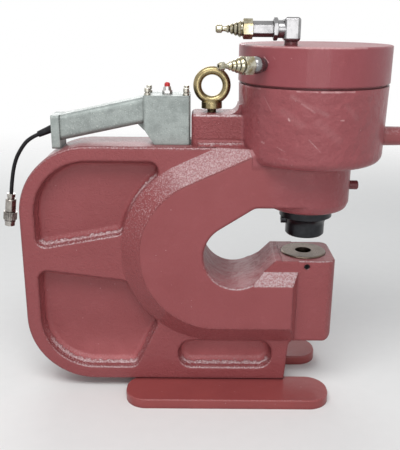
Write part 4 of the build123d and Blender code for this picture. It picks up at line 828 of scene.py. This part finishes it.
lacquer_fleck = times(lacquer_tree, ramp(lacquer_tree, lacquer_fleck, 0.60, 0.72), LACQUER_FLECKS)
lacquer_pit = noise(lacquer_tree, lacquer_place, scale=330.0)
lacquer_pit = times(lacquer_tree, ramp(lacquer_tree, lacquer_pit, 0.36, 0.27), LACQUER_PITS)
# Darker in its corners, where nearby surface hides the lacquer.
lacquer_corner = add(lacquer_tree, "ShaderNodeGroup", {"Reach": 0.006}, node_tree=crevice)
lacquer_darkened = times(lacquer_tree, lacquer_corner.outputs["Mask"], LACQUER_DARKENING)
lacquer_tone = blend_colour(lacquer_tree, lacquer_cloud, LACQUER, LACQUER_DARK)
lacquer_tone = blend_colour(lacquer_tree, lacquer_fleck, lacquer_tone, LACQUER_RUBBED)
lacquer_tone = blend_colour(lacquer_tree, lacquer_pit, lacquer_tone, LACQUER_PIT)
lacquer_tone = blend_colour(lacquer_tree, lacquer_darkened, lacquer_tone, CREVICE_DARK)
lacquer_rough = plus(lacquer_tree, LACQUER_GLOSS, times(lacquer_tree, lacquer_cloud, LACQUER_MATT))
lacquer_grain = noise(lacquer_tree, lacquer_place, scale=380.0, detail=3.0, roughness=0.6)
lacquer_swell = times(lacquer_tree, noise(lacquer_tree, lacquer_place, scale=60.0), LACQUER_SWELL)
lacquer_tree.links.new(lacquer_tone, lacquer_shader.inputs["Base Color"])
lacquer_tree.links.new(lacquer_rough, lacquer_shader.inputs["Roughness"])
lacquer_height = plus(lacquer_tree, lacquer_grain, lacquer_swell)
soften(lacquer_tree, lacquer_shader, lacquer_height, LACQUER_RELIEF, edge_radius=0.0015)
wear(lacquer, "handle_casting", "handle_end_plate", "box_cover")
screw_zinc = metal("screw_zinc", SCREW_ZINC, STEEL_DULL, gloss=0.20, patches=0.4, stretch=(600, 600, 600),
                   reach=0.003)
wear(screw_zinc, "end_plate_screws", "cover_screws")

# Push-button switch
# Chromed bushing screwed through the cover, with a red moulded button that slides in it.
# A black contact block hangs below, inside the box.
CHROME = (0.55, 0.54, 0.53, 1)
CHROME_DULL = (0.36, 0.345, 0.325, 1)
BUTTON_RED = (0.48, 0.008, 0.011, 1)
BUTTON_WORN = (0.54, 0.03, 0.03, 1)
INSULATOR = (0.018, 0.018, 0.019, 1)
INSULATOR_WORN = (0.04, 0.04, 0.042, 1)
bushing_chrome = metal("bushing_chrome", CHROME, CHROME_DULL, gloss=0.14, patches=0.4,
                       stretch=(500, 500, 500), edge_radius=0.0004)
wear(bushing_chrome, "button_bushing")
wear(plastic("red_button", BUTTON_RED, BUTTON_WORN, gloss=0.30, coat=0.15), "push_button")
wear(plastic("black_plastic", INSULATOR, INSULATOR_WORN, gloss=0.5), "switch_body")

# Strain relief and control cable
# A tapered rubber sleeve on the end plate, and the short round cable that hangs from it.
# The cable's line follows the same points as its solid.
CABLE_DIAMETER = 0.0068
cable_route = [
    (-0.3171, 0.4632),
    (-0.3346, 0.4557),
    (-0.3495, 0.4375),
    (-0.3610, 0.4170),
    (-0.3691, 0.3850),
    (-0.3725, 0.3580),
]
cable_rubber = rubber("cable_rubber", gloss=0.38, grain=1600.0, relief=0.00006)
wear(cable_rubber, "strain_relief")
cable_curve = bpy.data.curves.new("control_lead", "CURVE")
cable_curve.dimensions = "3D"
cable_curve.bevel_depth = CABLE_DIAMETER / 2
cable_curve.bevel_resolution = 8
cable_curve.resolution_u = 16
cable_curve.use_fill_caps = True
cable_line = cable_curve.splines.new("NURBS")
cable_line.points.add(len(cable_route) - 1)
for point, (x, z) in zip(cable_line.points, cable_route):
    point.co = (x, 0, z, 1)
cable_line.order_u = 3
cable_line.use_endpoint_u = True
cable_curve.materials.append(cable_rubber)
cable = add_object("control_lead", cable_curve)
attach(cable, "press_frame")
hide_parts("control_cable")

# Round plug on the cable
# Nickel-plated brass: gland nut, shell and knurled coupling ring. The contact insert is a plated
# sleeve round a black insulator.
NICKEL = (0.46, 0.43, 0.40, 1)
NICKEL_DULL = (0.15, 0.130, 0.112, 1)
SLEEVE_INSIDE = (0.0069, 0.0073)
nickel = metal("nickel_plate", NICKEL, NICKEL_DULL, gloss=0.15, patches=0.7, stretch=(500, 500, 500),
               lines=0.5, edge_radius=0.0004, reach=0.005, darkening=0.85)
wear(nickel, "plug_gland", "plug_shell", "plug_ring")
plug_nose = metal("plug_nose", NICKEL, NICKEL_DULL, gloss=0.20, patches=0.4, stretch=(500, 500, 500))
nose_tree = plug_nose.node_tree
plug_end = Vector((cable_route[-1][0], 0, cable_route[-1][1]))
plug_axis = plug_end - Vector((cable_route[-2][0], 0, cable_route[-2][1]))
from_axis = add(nose_tree, "ShaderNodeSeparateXYZ", {0: polar(nose_tree, plug_end, plug_axis.normalized())})
sleeve = ramp(nose_tree, from_axis.outputs["X"], *SLEEVE_INSIDE)
nose_tree.links.new(sleeve, nose_tree.nodes["Principled BSDF"].inputs["Metallic"])
tint_metal(plug_nose, blend_colour(nose_tree, sleeve, INSULATOR, NICKEL),
           blend_colour(nose_tree, sleeve, INSULATOR, NICKEL_DULL))
wear(plug_nose, "plug_insert")
